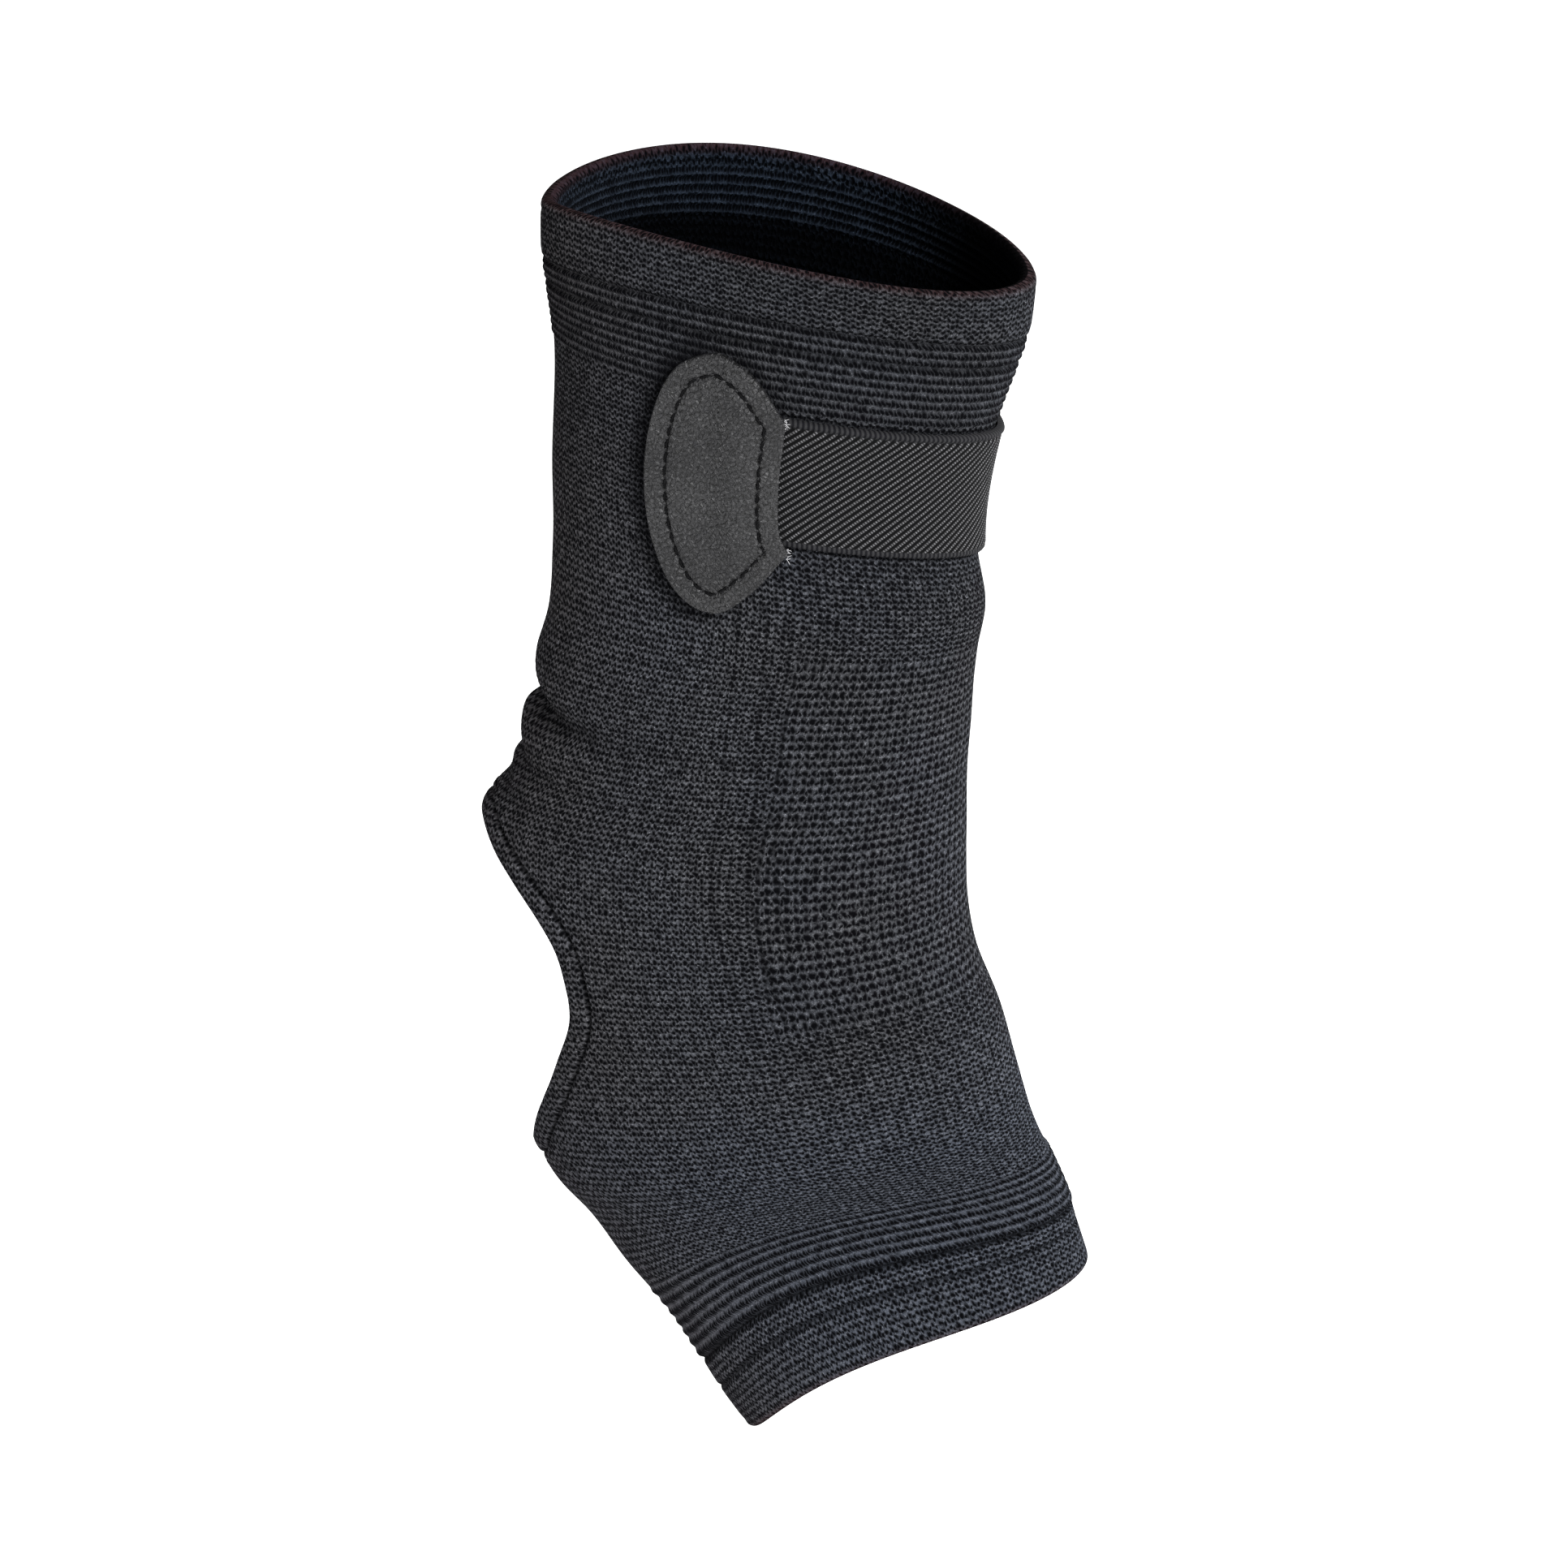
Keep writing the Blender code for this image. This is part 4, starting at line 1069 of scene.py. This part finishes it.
class Graph:
    """A material, with short names for the nodes that its pattern is built from."""

    def __init__(self, name):
        self.material = bpy.data.materials.new(name)
        self.material.use_nodes = True
        self.tree = self.material.node_tree
        self.shader = self.tree.nodes["Principled BSDF"]

    def node(self, kind, inputs=(), output=0, **settings):
        """What a new node gives. Inputs are pairs of an input's name or number and its value."""
        made = self.tree.nodes.new(kind)
        for key, value in settings.items():
            setattr(made, key, value)
        for key, value in inputs:
            self.put(made.inputs[key], value)
        return Value(self, made.outputs[output])

    def put(self, socket, value):
        if isinstance(value, Value):
            self.tree.links.new(value.socket, socket)
        else:
            socket.default_value = (*value, 1.0) if isinstance(value, tuple) else value

    def math(self, operation, *values):
        return self.node("ShaderNodeMath", enumerate(values), operation=operation)

    def least(self, first, second):
        return self.math("MINIMUM", first, second)

    def fraction(self, value):
        return self.math("FRACT", value)

    def wave(self, value, pitch=1.0):
        """Swings between 0 and 1 once in each pitch, and starts at 1."""
        return self.math("COSINE", value * (2 * math.pi / pitch)) * 0.5 + 0.5

    def fade(self, value, low, high, start=0.0, stop=1.0):
        """Runs smoothly from start to stop while the value runs from low to high."""
        inputs = enumerate((value, low, high, start, stop))
        return self.node("ShaderNodeMapRange", inputs, interpolation_type="SMOOTHSTEP", clamp=True)

    def mix(self, share, first, second):
        return self.node("ShaderNodeMix", ((0, share), (2, first), (3, second)), data_type="FLOAT")

    def blend(self, share, first, second):
        """A colour between two."""
        return self.node("ShaderNodeMix", ((0, share), (6, first), (7, second)), 2, data_type="RGBA")

    def layers(self, colour, *coats):
        """A colour with coats laid over it in turn, each a share and its colour."""
        for share, coat in coats:
            colour = self.blend(share, colour, coat)
        return colour

    def mask(self, name):
        return self.node("ShaderNodeAttribute", (), "Fac", attribute_name=name)

    def uv(self, name):
        place = self.node("ShaderNodeUVMap", uv_map=name)
        return [self.node("ShaderNodeSeparateXYZ", ((0, place),), axis) for axis in (0, 1)]

    def vector(self, x, y, z=0.0):
        return self.node("ShaderNodeCombineXYZ", enumerate((x, y, z)))

    def noise(self, where, scale, detail=2.0, rough=0.5):
        inputs = (("Vector", where), ("Scale", scale), ("Detail", detail), ("Roughness", rough))
        return self.node("ShaderNodeTexNoise", inputs, "Fac")

    def cells(self, where, scale, feature="F1"):
        inputs = (("Vector", where), ("Scale", scale))
        return self.node("ShaderNodeTexVoronoi", inputs, "Distance", feature=feature)

    def finish(self, colour, roughness, specular, height, strength, relief):
        inputs = (("Height", height), ("Strength", strength), ("Distance", relief))
        normal = self.node("ShaderNodeBump", inputs)
        for name, value in (("Base Color", colour), ("Roughness", roughness), ("Normal", normal),
                            ("Specular IOR Level", specular)):
            self.put(self.shader.inputs[name], value)
        return self.material


def scaled(colour, factor):
    return tuple(factor * part for part in colour)


def hole(g, wale, row, at, size, lean):
    """How far a place is from the nearest stitch hole, which repeats once each way, in hole sizes."""
    across = g.fraction(wale + (0.5 - at[0])) - 0.5
    down = g.fraction(row + (0.5 - at[1])) - 0.5
    across = (across + down * lean) / size[0]
    down = down / size[1]
    return g.math("SQRT", across * across + down * down)


def holes(g, wale, row, pair, second_share=1.0):
    """The same for the nearer of a stitch's two holes, the second one held further off by a share."""
    return g.least(hole(g, wale, row, *pair[0]), hole(g, wale, row, *pair[1]) * second_share)


def ladders(g, wale, row, deep):
    """The dark dashed columns down the near side, where the knit changes."""
    here = wale - (deep - LADDER_DEEP) * LADDER_DRIFT
    found = 0.0
    for angle, strength in LADDERS:
        apart = g.math("ABSOLUTE", here - float(wale_at(angle)))
        found = g.math("MAXIMUM", found, g.fade(apart, 0.36, 0.06) * strength)
    reach = g.fade(deep, 0.056, 0.066) * g.fade(deep, 0.152, 0.138)
    return found * reach * (g.wave(row) * 0.65 + 0.35)


def knit_material(name, colours, open_panel):
    """The knit: holes two to a stitch, wavering courses between them, and flecks on the yarn. The dark in
    and round the holes and along the courses is painted shade; the flecks are pale fibres with painted
    highlights on the stitch crests.
    """
    yarn, dark, warm = colours
    g = Graph(name)
    wale, row = g.uv("stitch")
    along, deep = g.uv("place")
    where = g.vector(along, deep, g.mask("inside") * 0.01)
    sway = g.noise(where, 800.0, 1.0) - 0.5
    stray = g.noise(g.vector(deep, along, 0.3), 1100.0, 1.0) - 0.5
    size = g.noise(where, 620.0)
    fibre = g.noise(where, 3600.0, 2.0, 0.7)
    twist = g.noise(g.vector(along, deep * 0.45), 3400.0, 2.0, 0.6)
    tone = g.noise(where, 45.0, 3.0)

    wale_here = wale + sway * 0.85
    row_here = row + stray * 0.85
    fine = g.mask("fine")
    ribbed = g.mask("ribbed")
    away = holes(g, wale_here, row_here, PLAIN_HOLES, 1.25 - fine * 0.25)
    away = g.mix(ribbed, away, holes(g, wale_here, row + stray * 0.25, RIB_HOLES))
    away = away * (fine * 0.12 + 1.0)
    plain = 1.0 - ribbed
    if open_panel:
        opened = g.mask("open")
        away = away * (1.0 - g.mask("loose") * 0.14)
        away = g.mix(opened, away, holes(g, wale_here, g.uv("panel")[1] + stray * 0.50, OPEN_HOLES))
        plain = plain * (1.0 - opened)
    away = away * g.fade(size, 0.30, 0.70, 0.80, 1.25)
    pit = g.fade(away, 1.30, 0.55)
    slope = g.fade(away, 2.3, 0.7)
    zigzag = 1.0 - g.math("ABSOLUTE", g.fraction(wale_here) - 0.5) * 2.0
    course = g.math("ABSOLUTE", g.fraction(row_here - zigzag * 0.3 + 0.5) - 0.5)
    course = g.fade(course, 0.30, 0.05) * plain

    bluish = (yarn[0] * 0.88, yarn[1], yarn[2] * 1.20)
    colour = g.layers(
        g.blend(g.fade(twist, 0.32, 0.70), scaled(yarn, 0.50), scaled(yarn, 1.45)),
        (g.fade(tone, 0.3, 0.7) * 0.30, bluish),
        (g.mask("foot") * 0.55, scaled(bluish, 1.15)),
        (g.mask("back") * 0.60, warm),
    )
    if open_panel:
        colour = g.blend(g.mask("lining") * 0.85, colour, LINING)
    # Painted shade of the knit's relief: dark along the courses, round the holes and in them.
    colour = g.layers(
        colour,
        (course * 0.36, dark),
        (slope * 0.78, dark),
        # pale fibres on the stitch crests, with painted highlights
        (g.fade(fibre, 0.57, 0.70) * (1.0 - slope) * 0.65, scaled(yarn, 4.6)),
        (g.mask("rim") * 0.55, RIM_RED),
        (pit, dark),
    )
    if open_panel:
        colour = g.blend(ladders(g, wale_here, row, deep), colour, dark)
    colour = g.layers(
        colour,
        # painted shade over the upper leg
        (g.mask("upper") * 0.27, dark),
        # painted shade in the creases above the heel
        (g.mask("painted_crease_shade") * 0.50, dark),
        # painted shadow along the band's edges and beside the patches
        (g.mask("painted_edge_shadow"), dark),
        # painted shade inside the tube
        (g.mask("painted_inside_shade"), scaled(dark, 0.3)),
        (g.mask("groove") * 0.90, scaled(dark, 0.5)),
    )
    ridge = g.wave(wale_here + 0.5)
    height = (1.0 - slope) * 0.9 + ridge * 0.12 + twist * 0.35 - course * 0.25
    return g.finish(colour, 0.95, 0.01, height, 1.0, 0.00040)


def elastic_material():
    """Diagonal twill of beaded threads between a corded and a plain edge."""
    g = Graph("woven_elastic")
    along, deep = g.uv("place")
    down = deep - BAND_START
    twill = g.wave(down * math.cos(TWILL_RISE) - along * math.sin(TWILL_RISE), TWILL_PITCH)
    bead = g.wave(along * math.sin(BEAD_LEAN) + down * math.cos(BEAD_LEAN), BEAD_PITCH)
    fibre = g.noise(g.vector(along, deep), 4200.0, 2.0, 0.7)
    low_edge = BAND_WIDE - LOWER_SELVEDGE
    body = g.fade(down, SELVEDGE, SELVEDGE + WEAVE_EDGE) * g.fade(down, low_edge, low_edge - WEAVE_EDGE)
    thread = g.fade(twill, 0.30, 0.90) * g.fade(bead, 0.05, 0.70, 0.35, 1.0)
    cord = g.blend(g.fade(g.wave(along, CORD_PITCH), 0.2, 0.8), (0.017, 0.017, 0.018), (0.004, 0.004, 0.005))
    speck = g.fade(twill, 0.55, 0.95) * g.fade(bead, 0.45, 0.95) * g.fade(fibre, 0.42, 0.62)
    colour = g.layers(
        (0.0016, 0.0016, 0.0018),
        (thread, (0.032, 0.032, 0.033)),
        (1.0 - body, cord),
        (speck * body * 0.75, (0.17, 0.17, 0.18)),
    )
    height = twill * body * 0.6 + fibre * 0.25 + bead * body * 0.25
    return g.finish(colour, 0.80, 0.04, height, 0.7, 0.0002)


def leather_material():
    """Fine-grained leather with a faint sheen that comes and goes."""
    g = Graph("black_leather")
    along, deep = g.uv("place")
    where = g.vector(along, deep)
    grain = g.noise(where, 1500.0, 3.0, 0.70)
    mottle = g.noise(where, 95.0, 4.0, 0.6)
    colour = g.layers(
        (0.006, 0.006, 0.007),
        (g.fade(mottle, 0.25, 0.75), (0.016, 0.016, 0.017)),
        (g.fade(grain, 0.53, 0.38) * 0.90, (0.0015, 0.0015, 0.0015)),
        # pale specks on the grain's raised tops: painted highlights
        (g.fade(grain, 0.55, 0.68) * 0.7, (0.052, 0.052, 0.053)),
    )
    creases = g.fade(g.cells(where, 1300.0, "DISTANCE_TO_EDGE"), 0.0, 0.16)
    height = creases * 0.5 + g.cells(where, 1900.0) * -0.35 + grain * 0.6
    return g.finish(colour, g.fade(mottle, 0.2, 0.8, 0.54, 0.38), 0.26, height, 1.0, 0.00034)


def thread_material(name, colour, roughness):
    g = Graph(name)
    where = g.node("ShaderNodeTexCoord", (), "Object")
    fibre = g.noise(where, 3000.0, 2.0, 0.6)
    shade = g.blend(fibre, scaled(colour, 0.7), scaled(colour, 1.25))
    return g.finish(shade, roughness, 0.02, fibre, 0.4, 0.0001)


def link(thing, place):
    thing.location = place
    bpy.context.scene.collection.objects.link(thing)
    return thing


def make_stage():
    """A pale floor, white light from all round and the soft lights."""
    corners = [(x * FLOOR_REACH, y * FLOOR_REACH, 0.0) for x, y in ((-1, -1), (1, -1), (1, 1), (-1, 1))]
    mesh = bpy.data.meshes.new("floor")
    mesh.from_pydata(corners, [], [(0, 1, 2, 3)])
    floor = link(bpy.data.objects.new("floor", mesh), (0.0, 0.0, CAD_BOX[0][2] - FLOOR_BELOW))
    paint = bpy.data.materials.new("pale_floor")
    paint.use_nodes = True
    shader = paint.node_tree.nodes["Principled BSDF"]
    shader.inputs["Base Color"].default_value = (0.95, 0.95, 0.95, 1.0)
    shader.inputs["Roughness"].default_value = 0.9
    shader.inputs["Specular IOR Level"].default_value = 0.1
    mesh.materials.append(paint)
    world = bpy.data.worlds.new("soft_white")
    world.use_nodes = True
    sky = world.node_tree.nodes["Background"]
    sky.inputs["Color"].default_value = (1.0, 1.0, 1.0, 1.0)
    sky.inputs["Strength"].default_value = WORLD_LIGHT
    bpy.context.scene.world = world
    for light in LIGHTS:
        add_light(*light)
    bpy.context.scene.view_settings.view_transform = "Standard"


def add_light(name, place, size, power):
    light = bpy.data.lights.new(name, "AREA")
    light.size = size
    light.energy = power
    thing = link(bpy.data.objects.new(name, light), place)
    aim = np.array(CAMERA_AIM) - place
    level = math.hypot(aim[0], aim[1])
    thing.rotation_euler = (math.atan2(level, -aim[2]), 0.0, math.atan2(aim[1], aim[0]) - math.pi / 2)


def make_camera():
    camera = bpy.data.cameras.new("camera")
    camera.lens = CAMERA_LENS
    camera.sensor_width = CAMERA_SENSOR
    back = np.array((0.0, -math.cos(CAMERA_RISE), math.sin(CAMERA_RISE)))
    thing = link(bpy.data.objects.new("camera", camera), tuple(CAMERA_AIM + CAMERA_AWAY * back))
    thing.rotation_euler = (math.pi / 2 - CAMERA_RISE, 0.0, 0.0)
    bpy.context.scene.camera = thing


def dress(node):
    """Hides the part of the frame that a piece takes the place of."""
    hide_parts(node)


def main():
    make_camera()
    make_stage()
    knit = knit_material("charcoal_knit", CHARCOAL, True)
    turned = knit_material("turned_in_knit", TURNED_IN_SHADE, False)
    elastic = elastic_material()
    leather = leather_material()
    thread = thread_material("black_thread", BLACK_THREAD, 0.6)
    pale = thread_material("pale_thread", PALE_THREAD, 0.8)
    loop = HeelLoop()

    sleeve, sleeve_inside = build_sleeve(knit, loop)
    dress("knit_sleeve")
    top = build_end_facing("top_facing_knit", turned, 0.0, 1, TOP_FACING_DEEP, True)
    dress("top_facing")
    toe = build_end_facing("toe_facing_knit", turned, TOE_DEEP, -1, TOE_HEM, False)
    dress("toe_facing")
    hem = build_heel_facing(turned, loop)
    dress("heel_hem")

    band, band_back = build_band(elastic)
    dress("elastic_band")

    random = np.random.default_rng(7)
    for side, near in (("near", True), ("far", False)):
        patch, stitch = build_patch(side + "_patch_leather", near, leather)
        dress(side + "_patch")
        stitches = thread_piece(side + "_patch_stitches", stitch_runs(stitch, near), STITCH_THICK, thread)
        frays = thread_piece(side + "_patch_frays", fray_runs(near, random), FRAY_THICK, pale, 4)
        outline_area()


main()
